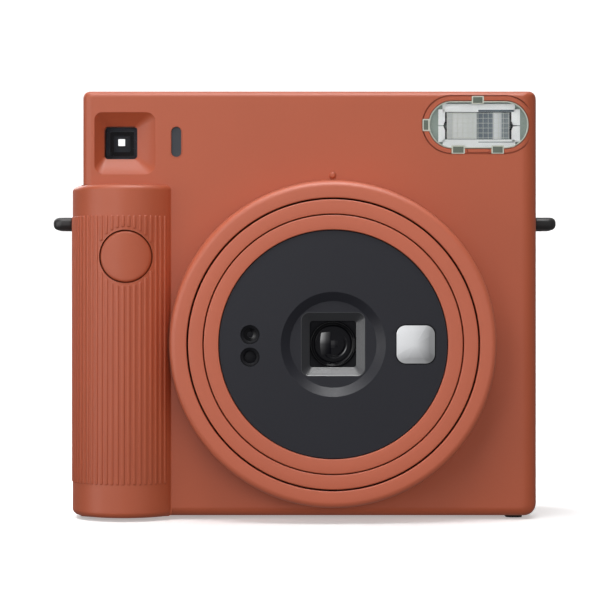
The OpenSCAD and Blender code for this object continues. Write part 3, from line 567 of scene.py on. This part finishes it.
RIB_LOW, RIB_HIGH, RIB_STEP = 10.2, 84.7, 5.8   # ends in mm, step in degrees
RIB_HALF, RIB_HEIGHT, RIB_TIP = 0.46, 0.27, 0.42
RIB_SHORTEST = 1.2
BUTTON_GAP = 8.1                                # ribs stop this far from the button's middle
rib_verts, rib_faces = [], []


def rib(angle, z0, z1):
    if z1 - z0 < RIB_SHORTEST:
        return
    base = len(rib_verts)
    section = []
    for k in range(9):
        t = math.pi * k / 8
        section.append((-RIB_HALF * math.cos(t), max(0, math.sin(t)) ** 0.62))
    section += [(RIB_HALF, -0.6), (-RIB_HALF, -0.6)]
    stations = []
    for k in range(5):
        t = math.pi / 2 * k / 4
        stations.append((z0 + RIB_TIP * (1 - math.cos(t)), math.sin(t)))
    stations += [(z1 - (s[0] - z0), s[1]) for s in reversed(stations)]
    for z, w in stations:
        w = max(w, 0.06)
        for u, h in section:
            r = GR + (RIB_HEIGHT * h * w if h >= 0 else h * 0.5)
            x = GX + u * w * math.cos(angle) + r * math.sin(angle)
            y = GY + u * w * math.sin(angle) - r * math.cos(angle)
            rib_verts.append((x, y, z))
    n = len(section)
    for i in range(len(stations) - 1):
        for k in range(n):
            m = (k + 1) % n
            near, far = base + i * n, base + (i + 1) * n
            rib_faces.append((near + k, near + m, far + m, far + k))
    rib_faces.append(tuple(base + k for k in range(n)))
    rib_faces.append(tuple(base + (len(stations) - 1) * n + k for k in range(n)))


for i in range(-14, 9):
    a = math.radians(i * RIB_STEP)
    dx = abs(GX + (GR + 0.3) * math.sin(a) - BX)
    if dx < BUTTON_GAP:
        h = math.sqrt(BUTTON_GAP ** 2 - dx ** 2)
        rib(a, RIB_LOW, BZ - h)
        rib(a, BZ + h, RIB_HIGH)
    else:
        rib(a, RIB_LOW, RIB_HIGH)
ribs = mesh_object("grip_ribs", rib_verts, rib_faces, 50)
done(ribs, SHELL, "camera_body", "shell")

# ---------------------------------------------------------------- shutter button
BUTTON_FLAT, BUTTON_BACK = 6.3, -15.0


def button_ring(r, dy=0.0):
    """A ring of the cap, dy behind the grip's own curve; None stands for its flat back."""
    ring = []
    for x, z in circle(BX, BZ, r, 128):
        y = BUTTON_BACK
        if dy is not None:
            y = GY - math.sqrt((GR - 0.12) ** 2 - (x - GX) ** 2) + dy
        ring.append((x, y, z))
    return ring


rounding = ((BUTTON_FLAT, 0.0), (6.64, 0.03), (6.88, 0.16), (7.04, 0.34), (7.1, 0.62), (7.1, None))
cap = loft(
    "button_cap",
    [button_ring(BUTTON_FLAT * part) for part in (0.3, 0.55, 0.78, 0.92)]
    + [button_ring(r, dy) for r, dy in rounding])
stem = lathe("button_stem", [
    (0, -15.1, 0), (8.8, -14.9, 0.2), (8.8, -13.95, 0.2),
    (2.0, -13.9, 0.3), (2.0, -2.7, 0.4), (0, -2.7, 0)], 64, 3, BX, BZ)
cut(cap, stem, op="UNION")
smooth(cap, 30)
done(cap, SHELL, "button_body", "shell", "shutter_button")

# ---------------------------------------------------------------- lens barrels
F = LENS_FRONT
RING_BACK = -13.0   # back of the middle and front rings
dial = lathe("dial_ring", [
    (40.0, F, 0.3), (44.5, F, 1.7), (45.6, FACE - 0.25, 0.15), (43.7, FACE - 0.25, 0),
    (43.7, -13.2, 0), (42.58, -13.2, 0), (42.58, F + 1.5, 0), (40.0, F + 1.5, 0.1)], 320, 8)
done(dial, RING, "lens_dial_body", "shell", "lens_dial")
mid = lathe("middle_ring", [
    (35.62, F, 0.22), (39.55, F, 0.35), (39.55, RING_BACK, 0.3), (35.62, RING_BACK, 0.3)], 320, 5)
done(mid, RING, "middle_barrel_body", "shell", "middle_barrel")
inner_ring = lathe("front_ring", [
    (31.3, F, 0.22), (35.3, F, 0.3), (35.3, RING_BACK, 0.3),
    (33.0, RING_BACK, 0.2), (33.0, F + 2.5, 0), (31.3, F + 2.5, 0)], 320, 5)
done(inner_ring, RING, "front_barrel_body", "shell", "front_barrel")

# the barrels are black where the film chamber looks into them
LINING = (-13.02, -12.9)   # front and back of both linings
lining = lathe("middle_barrel_lining", [
    (35.7, LINING[0], 0), (39.5, LINING[0], 0), (39.5, LINING[1], 0), (35.7, LINING[1], 0)], 200, 1)
done(lining, BLACK, "middle_barrel_body", "black")
lining = lathe("front_barrel_lining", [
    (32.9, -24.4, 0), (33.02, -24.4, 0), (33.02, LINING[0], 0),
    (35.25, LINING[0], 0), (35.25, LINING[1], 0), (32.9, LINING[1], 0)], 200, 1)
done(lining, BLACK, "front_barrel_body", "black")

# dark disc with its conical recess
D = F + 0.5         # face of the disc
FLOOR = F + 2.2     # bottom of its conical recess
MX = LX + 22.5      # middle of the mirror
WINDOW_X = LX - 22.7
WINDOWS = (("upper", LZ + 2.68), ("lower", LZ - 3.43))
HOOD_HALF, HOOD_ROUND, HOOD_BACK = 8.8, 2.2, -22.3
disc = lathe("fascia_disc", [
    (31.2, D, 0.25), (31.2, F + 2.5, 0), (32.9, F + 2.5, 0), (32.9, F + 3.5, 0.2), (5.0, F + 3.5, 0),
    (5.0, FLOOR, 0), (11.85, FLOOR, 0.12), (14.3, D, 0.2)], 320, 5)
cut(disc, prism("c", rect(MX - 5.5, LZ - 5.5, MX + 5.5, LZ + 5.5, 2.7, 10), D - 1, D + 1.3))
for tag, z in WINDOWS:
    cut(disc, prism("c", circle(WINDOW_X, z, 2.62, 64), D - 1, D + 2.6))
edge(disc, 0.1, 2, 50)
disc.modifiers.clear()
hood_hole = rect(LX - HOOD_HALF, LZ - HOOD_HALF, LX + HOOD_HALF, LZ + HOOD_HALF, HOOD_ROUND)
cut(disc, prism("c", hood_hole, F + 1, F + 5))
smooth(disc, 30)
weigh_normals(disc)
done(disc, FASCIA, "front_barrel_body", "fascia", "lens_fascia")


def sq(h, r, y):
    """A rounded square of half width h about the lens axis."""
    return [(a, y, b) for a, b in rect(LX - h, LZ - h, LX + h, LZ + h, r)]


# rounded square hood that steps down towards the lens
hood_rings = [
    sq(HOOD_HALF, HOOD_ROUND, HOOD_BACK), sq(HOOD_HALF, HOOD_ROUND, FLOOR),
    sq(8.62, 2.1, FLOOR), sq(8.5, 2.05, FLOOR + 0.1)]
STEPS = 7
for k in range(STEPS):
    h = 8.4 - 2.0 * k / (STEPS - 1)
    r = 2.0 - 1.1 * k / (STEPS - 1)
    y = FLOOR + 0.35 + 0.42 * k
    hood_rings += [sq(h + 0.2, r, y - 0.04), sq(h, r, y + 0.105), sq(h, r, y + 0.34)]
hood_rings.append(sq(6.4, 0.9, HOOD_BACK))
hood = loft("lens_hood_funnel", hood_rings, closed=True, sharp=28)
done(hood, HOOD, "front_barrel_body", "fascia", "lens_hood")
hood_floor = lathe("hood_floor", [
    (6.38, -22.95, 0.05), (9.0, -22.95, 0), (9.0, HOOD_BACK, 0), (6.38, HOOD_BACK, 0)], 96, 3)
done(hood_floor, DEEP, "front_barrel_body", "fascia")
cell = lathe("cell_rings", [
    (6.35, HOOD_BACK, 0), (6.35, -23.5, 0.1), (6.15, -23.7, 0.1), (6.0, -23.7, 0.05), (5.62, -23.3, 0.05),
    (5.3, -23.25, 0.05), (5.05, -22.9, 0.05), (5.05, -18.2, 0), (7.7, -18.2, 0), (7.7, HOOD_BACK, 0)], 160, 4)
done(cell, GLOSS_BLACK, "front_barrel_body", "black", "lens_cell")

# front lens: its radius, the radius of its curve, its foremost point; the dip's depth, place and width
RADIUS, CURVE, APEX = 5.0, 12.0, -23.9
DIP, DIP_AT, DIP_WIDTH = 0.32, 3.45, 0.38
profile = [(0, APEX, 0)]
for k in range(1, 49):
    r = RADIUS * k / 48
    profile.append((r, APEX + CURVE - math.sqrt(CURVE ** 2 - r ** 2), 0))
profile += [(RADIUS, -20.2, 0), (0, -20.2, 0)]
element = lathe("front_element", profile, 160, 1)
# the edge of an inner lens shows as an arc at the lower right
for v in element.data.vertices:
    dx, dz = v.co.x / MM - LX, v.co.z / MM - LZ
    r = math.hypot(dx, dz)
    side = max(0.0, math.cos(math.atan2(dz, dx) + math.radians(35)))
    if v.co.y < -21 * MM:
        v.co.y += DIP * side * math.exp(-((r - DIP_AT) / DIP_WIDTH) ** 2) * MM
done(element, LENS, "front_barrel_body", "lens_glass", "front_lens")

# mirror, a little convex
MIRROR_Y, MIRROR_BULGE = -27.9, 0.12
rings = []
for h, r, y in ((5.22, 2.5, -26.96), (5.22, 2.5, -27.86), (5.2, 2.48, -27.89), (5.16, 2.45, MIRROR_Y)):
    rings.append([(a, y, b) for a, b in rect(MX - h, LZ - h, MX + h, LZ + h, r, 10)])
for s in (0.85, 0.7, 0.55, 0.4, 0.25, 0.12):
    ring = []
    for a, b in rect(MX - 5, LZ - 5, MX + 5, LZ + 5, 2.3, 10):
        dx, dz = (a - MX) * s, (b - LZ) * s
        ring.append((MX + dx, MIRROR_Y - MIRROR_BULGE * (1 - (dx * dx + dz * dz) / 40), LZ + dz))
    rings.append(ring)
mirror = loft("aiming_mirror", rings, sharp=6)
done(mirror, MIRROR, "front_barrel_body", "mirror", "selfie_mirror")

# two small round windows
for tag, z in WINDOWS:
    upper = tag == "upper"
    rim = lathe("window_rim_" + tag, [
        (1.75, D + 0.5, 0.1), (2.58, D + 0.25, 0.1), (2.58, D + 1.5, 0), (1.75, D + 1.5, 0)],
        64, 3, WINDOW_X, z)
    done(rim, DEEP, "front_barrel_body", "fascia")
    if upper:
        stop = lathe("window_stop", [
            (0.8, D + 0.95, 0.1), (1.75, D + 0.8, 0), (1.75, D + 1.6, 0), (0.8, D + 1.6, 0)],
            48, 3, WINDOW_X, z)
        done(stop, GLOSS_BLACK, "front_barrel_body", "black")
    pane = lathe("window_pane_" + tag, [
        (0, D + (0.85 if upper else 0.9), 0), (0.9, D + 1.0, 0.1), (1.7, D + 1.15, 0),
        (1.7, D + 1.6, 0), (0, D + 1.6, 0)], 48, 4, WINDOW_X, z)
    done(pane, DEEP, "front_barrel_body", "smoked", *(["sensor_windows"] if upper else []))

# ---------------------------------------------------------------- viewfinder
x0, z0, x1, z1 = finder_lo[0], finder_lo[2], finder_hi[0], finder_hi[2]
TUBE_WALL = 1.5
t0 = (tube_lo[0] + TUBE_WALL, tube_lo[2] + TUBE_WALL)
t1 = (tube_hi[0] - TUBE_WALL, tube_hi[2] - TUBE_WALL)


def finder_ring(k, y, r):
    """Outline between the mouth of the funnel (0) and the window (1)."""
    m = 0.14 * (1 - k)
    return [(a, y, b) for a, b in rect(
        x0 + m + (t0[0] - x0) * k, z0 + m + (t0[1] - z0) * k,
        x1 - m + (t1[0] - x1) * k, z1 - m + (t1[1] - z1) * k, r, 10)]


FUNNEL_BACK = -9.5
bezel = loft("finder_funnel", [
    [(a, y, b) for a, b in finder_outline(grow)]
    for grow, y in ((0.0, FUNNEL_BACK), (0.0, FACE + 0.004), (-0.07, FACE + 0.03), (-0.13, FACE + 0.10))] + [
    finder_ring(0.015, FACE + 0.25, [2.4, 2.7, 2.4, 2.0]), finder_ring(0.5, FACE + 2.0, [1.6, 1.8, 1.6, 1.5]),
    finder_ring(1.0, FACE + 3.5, 1.1), finder_ring(1.0, FUNNEL_BACK, 1.1)], closed=True, sharp=26)
done(bezel, SHELL, "camera_body", "shell", "viewfinder_bezel")

WX, WZ = (t0[0] + t1[0]) / 2, (t0[1] + t1[1]) / 2
HW, HH = (t1[0] - t0[0]) / 2, (t1[1] - t0[1]) / 2


def frame_ring(name, k0, k1, y0, y1, mat, x=0.0, z=0.0):
    """A frame across the tube, its hole moved by x and z."""
    outer = rect(WX - HW * k0, WZ - HH * k0, WX + HW * k0, WZ + HH * k0, 0.8 * k0, 5)
    half = HW * k1
    hole = rect(WX + x - half, WZ + z - half, WX + x + half, WZ + z + half, 0.6 * k1, 5)
    return done(ring_prism(name, outer, hole, y0, y1), mat, "camera_body", "black")


frame_ring("finder_frame_a", 0.995, 0.74, -8.6, -8.3, NAVY)
frame_ring("finder_frame_b", 0.78, 0.50, -7.8, -7.5, DEEP)
frame_ring("finder_frame_c", 0.54, 0.36, -7.2, -7.0, NAVY, -0.1, 0.25)
frame_ring("finder_frame_d", 0.46, 0.212, -6.8, -6.6, NAVY, -0.25, 0.5)
pane_outline = rect(t0[0] + 0.02, t0[1] + 0.02, t1[0] - 0.02, t1[1] - 0.02, 1.0, 6)
pane = prism("finder_window", pane_outline, FACE + 3.7, FACE + 4.4)
done(pane, FINDER_GLASS, "camera_body", "lens_glass", "objective_lens")

# eyepiece: a clear window in a black frame
eye_lo, eye_hi = mm_box("eyepiece_frame")
eye = loft("eyepiece_surround", [
    [(a, y, b) for a, b in rect(eye_lo[0] + g, eye_lo[2] + g, eye_hi[0] - g, eye_hi[2] - g, 2.0 - g, 8)]
    for g, y in ((0, 24), (0, BACK - 0.3), (0.3, BACK))] + [
    [(a, y, b) for a, b in rect(t0[0] - g, t0[1] - g, t1[0] + g, t1[1] + g, 0.8 + g, 8)]
    for g, y in ((0.7, BACK), (0.5, BACK - 1.4), (0.0, BACK - 1.6), (0.0, 24))], closed=True)
done(eye, BLACK, "camera_body", "black", "eyepiece_frame")
eye_pane = loft("eyepiece_window", [
    [(a, y, b) for a, b in rect(t0[0] + g, t0[1] + g, t1[0] - g, t1[1] - g, 0.8, 8)]
    for g, y in ((0.05, 21.0), (0.05, 22.8), (0.25, 23.0))])
done(eye_pane, FINDER_GLASS, "camera_body", "lens_glass", "eyepiece_lens")

# oval light sensor window with its thin rim
rim = ring_prism(
    "light_sensor_rim", oval(SENSOR_X, 100.92, 109.88, 1.68), oval(SENSOR_X, 101.2, 109.6, 1.4),
    FACE - 0.05, FACE + 1.2)
edge(rim, 0.1, 2)
done(rim, SHELL, "camera_body", "shell")
sensor = prism("light_sensor", oval(SENSOR_X, 101.21, 109.59, 1.39), FACE + 0.32, FACE + 1.5)
edge(sensor, 0.12, 2)
done(sensor, SMOKED, "camera_body", "smoked", "light_sensor_window")


# ---------------------------------------------------------------- flash
REFLECT_L, REFLECT_R, REFLECT_HALF = 38.6, 59.4, 4.7   # mouth of the reflector
PANE_HALF = 6.55                                       # half height of the flash window


def plates(name, boxes, y0, y1, r=0.15, width=0.08):
    """Several flat plates as one mesh. Each is an outline or (x0, z0, x1, z1)."""
    verts, faces = [], []
    for b in boxes:
        outline = rect(*b, r, 3) if len(b) == 4 and not isinstance(b[0], tuple) else list(b)
        n, base = len(outline), len(verts)
        for y in (y0, y1):
            verts += [(x, y, z) for x, z in outline]
        faces += [(base + k, base + (k + 1) % n, base + n + (k + 1) % n, base + n + k) for k in range(n)]
        faces += [tuple(base + k for k in range(n)), tuple(base + n + k for k in range(n))]
    o = mesh_object(name, verts, faces)
    edge(o, width, 2)
    return o


pane_o = loft("flash_pane", [
    [(a, y, b) for a, b in stadium(FL + g, FR - g, FZ, PANE_HALF - g)]
    for g, y in ((0.32, FACE + 0.85), (0.32, FACE + 0.30), (0.42, FACE + 0.2), (0.6, FACE + 0.17))])
done(pane_o, CLEAR, "camera_body", "clear", "flash_window")
pane_edge = stadium(FL, FR, FZ, PANE_HALF)
rim = ring_prism("flash_pane_rim", pane_edge, stadium(FL + 0.31, FR - 0.31, FZ, 6.24), FACE + 0.1, FACE + 1.2)
edge(rim, 0.08, 2)
done(rim, FROST, "camera_body", "clear")
mouth = rect(REFLECT_L, FZ - REFLECT_HALF, REFLECT_R, FZ + REFLECT_HALF, 0.6, 20)
surround = ring_prism("flash_surround", pane_edge, mouth, FACE + 1.5, FACE + 1.95)
done(surround, SHADE, "camera_body", "white")


def end_plate(x_out, x_in, side, up):
    """Half of an end plate; its inner edge has a notch towards the middle line."""
    notch = x_in - side * 0.35
    pts = [(x_out, 0.12), (notch, 0.12), (notch, 0.5), (x_in, 1.2), (x_in, 4.55), (x_out, 4.55)]
    return [(x, FZ - 0.2 + up * z) for x, z in pts]


white = plates("flash_frame_plates", [
    (38.5, FZ + 3.6, 58.7, FZ + 5.85), (38.6, FZ - 6.3, 58.8, FZ - 4.05),
    end_plate(37.35, 39.25, 1, 1), end_plate(37.35, 39.25, 1, -1),
    end_plate(60.15, 57.75, -1, 1), end_plate(60.15, 57.75, -1, -1)], FACE + 0.95, FACE + 1.45, 0.2)
done(white, WHITE, "camera_body", "white", "flash_frame")

# ribbed sheet: its tones change from left to right, in metres
SHEET_L, SHEET_R = 0.0390, 0.0580
FRESNEL, nt, bsdf = nodes_of("fresnel_panel")
tc = nt.nodes.new("ShaderNodeTexCoord")
parts = nt.nodes.new("ShaderNodeSeparateXYZ")
nt.links.new(tc.outputs["Object"], parts.inputs["Vector"])
span = nt.nodes.new("ShaderNodeMapRange")
span.inputs["From Min"].default_value = SHEET_L
span.inputs["From Max"].default_value = SHEET_R
nt.links.new(parts.outputs["X"], span.inputs["Value"])
tones = ramp(nt, span.outputs["Result"], [
    (0.0, (0.55, 0.57, 0.56)), (0.12, (0.52, 0.54, 0.53)),
    (0.14, (0.68, 0.69, 0.67)), (0.47, (0.62, 0.64, 0.62)),
    (0.49, (0.13, 0.155, 0.18)), (0.70, (0.17, 0.20, 0.23)),
    (0.74, (0.70, 0.72, 0.72)), (0.83, (0.60, 0.62, 0.63)),
    (0.86, (0.20, 0.23, 0.25)), (1.0, (0.28, 0.31, 0.32))])
nt.links.new(tones.outputs["Color"], bsdf.inputs["Base Color"])
bsdf.inputs["Roughness"].default_value = 0.22
panel = plates("fresnel_sheet", [(39.75, FZ - 3.9, 57.3, FZ + 3.5)], FACE + 1.55, FACE + 1.75, 0.1, 0.03)
done(panel, FRESNEL, "camera_body", "clear")
UPRIGHT_STEP, LEVEL_STEP = 1.42, 1.36
ribs_v = [(39.9 + UPRIGHT_STEP * k, FZ - 3.8, 40.0 + UPRIGHT_STEP * k, FZ + 3.4) for k in range(13)]
ribs_h = [(39.8, FZ - 3.6 + LEVEL_STEP * k, 57.2, FZ - 3.5 + LEVEL_STEP * k) for k in range(6)]
grid = plates("fresnel_grid", ribs_v + ribs_h, FACE + 1.46, FACE + 1.56, 0.02, 0.02)
done(grid, FROST, "camera_body", "clear")
strips = plates(
    "flash_shade_strips", [(48.5, FZ + 3.62, 58.4, FZ + 4.2), (48.5, FZ - 4.9, 58.4, FZ - 4.7)],
    FACE + 0.9, FACE + 0.96, 0.05, 0.02)
done(strips, SHADE_DARK, "camera_body", "white")
# the bowl's rings: how far in at the sides and at the top and bottom, and how far behind the face
BOWL = ((-0.6, -0.6, 9), (-0.6, -0.6, 2.05), (0, 0, 2.05), (0.3, 0.6, 3.6), (0.8, 1.8, 5.6), (1.2, 3.4, 7.0))
bowl = loft("flash_reflector_bowl", [
    [(a, FACE + deep, b) for a, b in rect(
        REFLECT_L + g, FZ - REFLECT_HALF + h, REFLECT_R - g, FZ + REFLECT_HALF - h, 0.6, 5)]
    for g, h, deep in BOWL])
done(bowl, CHROME, "camera_body", "reflector", "flash_reflector")
tube = lathe("flash_tube_glass", [
    (0, 39.2, 0), (1.1, 39.2, 0.4), (1.1, 58.8, 0.4), (0, 58.8, 0)], 40, 4, 0, 0)
# the lathe turns about y, so the tube is laid along x
for v in tube.data.vertices:
    x, y, z = v.co
    v.co = (y, x + (FACE + 5.0) * MM, z + FZ * MM)
done(tube, CLEAR, "camera_body", "clear", "flash_tube")
tab_rims = plates("flash_tab_rims", TABS, FACE + 0.05, FACE + 0.7, 0.2)
done(tab_rims, FROST, "camera_body", "clear")
upright = [(a + 0.36, b + 0.25, c - 0.36, d - 0.3) for a, b, c, d in (TABS[0], TABS[2], TABS[3])]
a, b, c, d = TABS[1]
cores = plates(
    "flash_tab_cores", upright + [(a + 0.3, b + 0.36, c - 0.45, d - 0.36)],
    FACE + 0.02, FACE + 0.2, 0.1, 0.04)
done(cores, TAB, "camera_body", "clear")

# ---------------------------------------------------------------- strap lugs, feet, back
def lug(name, side, x):
    reach = lug_hi[0] - side * x
    outer = arc_points([(0, -3.0, 0), (reach, -3.0, 2.6), (reach, 9.0, 2.6), (0, 9.0, 0)], 8)
    o = prism_z(name, [(x + side * a, b) for a, b in outer], lug_lo[2], lug_hi[2])
    edge(o, 1.5, 7, 40, 40)
    slot = rect(1.5, -0.3, 3.6, 6.3, 1.0, 5)
    hole = prism_z("c", [(x + side * a, b) for a, b in slot], lug_lo[2] - 1, lug_hi[2] + 1)
    return cut(o, hole)


done(lug("right_lug", 1, RIGHT - 0.02), BLACK, "camera_body", "black", "strap_lugs")
done(lug("left_lug", -1, GX - GR + 0.02), BLACK, "camera_body", "black")
FEET_X = ((-53.5, -45.8), (56.7, 61.4))
FEET_Y, FOOT_DEPTH = (-9.5, 19.0), 5
for i, (xa, xb) in enumerate(FEET_X):
    for k, y in enumerate(FEET_Y):
        o = prism_z(f"foot_{i}_{k}", rect(xa, y, xb, y + FOOT_DEPTH, 1.5, 6), 0, LOW + 0.02)
        edge(o, 0.25, 3)
        done(o, RUBBER, "camera_body", "rubber", *(["feet"] if i + k == 0 else []))

HX, HY, KNUCKLE = 62.4, 26.15, 2.6   # axis of the door's hinge, radius of its knuckle
DOOR_IN = 26.2                       # inner face of the door
plan = arc_points([(door_l, BACK, 0.8), (door_l, DOOR_IN, 0.2), (HX - 2.0, DOOR_IN, 0)], 5)
for k in range(25):
    a = math.radians(150 + 300 * k / 24)
    plan.append((HX + KNUCKLE * math.cos(a), HY + KNUCKLE * math.sin(a)))
door = prism_z("film_door", plan, cover_lo[2], cover_hi[2])
cut(
    door,
    # window that shows the film pack
    prism("c", rect(40, 24, 45, 38, 1.2), 15, 45),
    # guide of the lock, wider inside than outside
    block("c", -35, 15, 46, -31, 45, 60),
    block("c", -45, 15, 45.5, -30.2, 27.1, 60.5),
    # hole for the hinge pin
    prism_z("c", circle(HX, HY, 1.05, 32), 0, 130),
)
edge(door, 0.35, 3, 45)
done(door, SHELL, "back_cover_body", "shell", "back_cover")

# ---------------------------------------------------------------- what stays from the frame
slots = {s["node"]: s["material_slot"] for s in frame["record"]["subparts"]}
for name, o in frame["nodes"].items():
    mat = BY_SLOT[slots[name]]
    for i in range(max(1, len(o.material_slots))):
        if len(o.material_slots) == 0:
            o.data.materials.append(mat)
        else:
            o.material_slots[i].material = mat

# ---------------------------------------------------------------- floor, light, camera
# in metres: a floor, a rounded bend and a wall behind the part
FLOOR_HALF, BEND_Y, BEND_R, WALL_TOP = 6.0, 0.45, 0.5, 4.0
stage_pts = [(-FLOOR_HALF, 0.0), (-0.4, 0.0), (BEND_Y, 0.0)]
for k in range(1, 13):
    a = math.pi / 2 * k / 12
    stage_pts.append((BEND_Y + BEND_R * math.sin(a), BEND_R * (1 - math.cos(a))))
stage_pts.append((BEND_Y + BEND_R, WALL_TOP))
verts = [(x / MM, y / MM, z / MM) for y, z in stage_pts for x in (-FLOOR_HALF, FLOOR_HALF)]
faces = [(2 * i, 2 * i + 1, 2 * i + 3, 2 * i + 2) for i in range(len(stage_pts) - 1)]
sweep = mesh_object("backdrop", verts, faces, 60)
PAPER = plastic("backdrop_paper", (0.90, 0.90, 0.90), 0.9, 300, 0.05, 0.01, 0.1)
paper_bsdf = PAPER.node_tree.nodes["Principled BSDF"]
paper_bsdf.inputs["Emission Color"].default_value = (1, 1, 1, 1)
paper_bsdf.inputs["Emission Strength"].default_value = 0.35
sweep.visible_diffuse = False
sweep.visible_glossy = False
sweep.data.materials.append(PAPER)

world = bpy.data.worlds.new("studio")
bpy.context.scene.world = world
world.use_nodes = True
background = world.node_tree.nodes["Background"]
background.inputs["Color"].default_value = (1, 1, 1, 1)
background.inputs["Strength"].default_value = 0.20
MIDDLE = (0, 0, 0.06)   # middle of the camera, in metres
CARD_Y = -1.45          # the glowing cards stand behind the viewer, in metres


def area(name, place, aim, size, power):
    lamp = bpy.data.lights.new(name, "AREA")
    lamp.shape = "RECTANGLE"
    lamp.size, lamp.size_y = size
    lamp.energy = power
    o = bpy.data.objects.new(name, lamp)
    o.location = place
    o.rotation_euler = (Vector(aim) - Vector(place)).to_track_quat("-Z", "Y").to_euler()
    bpy.context.collection.objects.link(o)
    return o


def unseen(o):
    """Keeps a light out of reflections."""
    o.visible_glossy = False
    o.visible_transmission = False


def card(name, x0, x1, z0, z1, across, upward, strength):
    """A glowing card behind the viewer, seen only in reflections; its glow changes across and upward."""
    corners = ((x0, z0), (x1, z0), (x1, z1), (x0, z1))
    o = mesh_object(name, [(x / MM, CARD_Y / MM, z / MM) for x, z in corners], [(0, 1, 2, 3)])
    m, nt, bsdf = nodes_of(name + "_glow")
    tc = nt.nodes.new("ShaderNodeTexCoord")
    parts = nt.nodes.new("ShaderNodeSeparateXYZ")
    nt.links.new(tc.outputs["Object"], parts.inputs["Vector"])
    tones = []
    for axis, lo, hi, stops in (("X", x0, x1, across), ("Z", z0, z1, upward)):
        span = nt.nodes.new("ShaderNodeMapRange")
        span.inputs["From Min"].default_value = lo
        span.inputs["From Max"].default_value = hi
        nt.links.new(parts.outputs[axis], span.inputs["Value"])
        tones.append(ramp(nt, span.outputs["Result"], [(p, (v, v, v)) for p, v in stops]))
    mix = nt.nodes.new("ShaderNodeVectorMath")
    mix.operation = "MULTIPLY"
    nt.links.new(tones[0].outputs["Color"], mix.inputs[0])
    nt.links.new(tones[1].outputs["Color"], mix.inputs[1])
    nt.links.new(mix.outputs["Vector"], bsdf.inputs["Emission Color"])
    bsdf.inputs["Base Color"].default_value = (0, 0, 0, 1)
    bsdf.inputs["Emission Strength"].default_value = strength
    o.data.materials.append(m)
    o.visible_diffuse = False
    o.visible_camera = False
    o.visible_shadow = False


unseen(area("key", (-0.42, -0.80, 0.28), MIDDLE, (0.35, 0.7), 1.5))
area("side", (-0.72, -0.36, 0.04), MIDDLE, (0.3, 0.5), 2.0)
area("top", (-0.10, -0.27, 0.64), MIDDLE, (0.5, 0.35), 2.6)
strip = area("strip", (0.07, -0.23, 0.62), (0.01, 0, 0.06), (0.22, 0.25), 1.8)
strip.visible_diffuse = False
unseen(area("fill", (0.45, -1.3, 0.12), MIDDLE, (1.0, 0.6), 7.4))
area("rear", (-0.30, 0.42, 0.35), MIDDLE, (0.3, 0.3), 1.8)
area("back", (0.0, 0.35, 1.5), (0, 0.8, 0.3), (2.0, 0.6), 12.0)
card("lens_card", -0.95, -0.10, -0.90, 0.95, [(0, 1.0), (0.3, 0.6), (0.6, 0.18), (1.0, 0.0)],
     [(0, 0.03), (0.25, 0.09), (0.5, 0.22), (0.7, 0.85), (1.0, 1.0)], 10.0)
card("mirror_card", -0.12, 0.34, -0.22, 0.26, [(0.3, 1.0), (0.48, 0.9), (0.70, 0.33)],
     [(0.3, 0.45), (0.5, 0.9), (0.70, 1.0)], 0.88)

AWAY = 550               # from the front face to the camera, in mm
VIEW_WIDTH = 170.106     # width of the view at the front face, in mm
SENSOR_WIDTH = 36
EYE_X, EYE_Z = 0.0001, 0.0599   # in metres
cam_data = bpy.data.cameras.new("camera")
cam = bpy.data.objects.new("camera", cam_data)
bpy.context.collection.objects.link(cam)
cam.location = (EYE_X, (FACE - AWAY) * MM, EYE_Z)
cam.rotation_euler = (math.pi / 2, 0, 0)
cam_data.sensor_width = SENSOR_WIDTH
cam_data.lens = SENSOR_WIDTH * AWAY / VIEW_WIDTH
cam_data.clip_start = 0.05
bpy.context.scene.camera = cam
bpy.context.scene.view_settings.view_transform = "Standard"
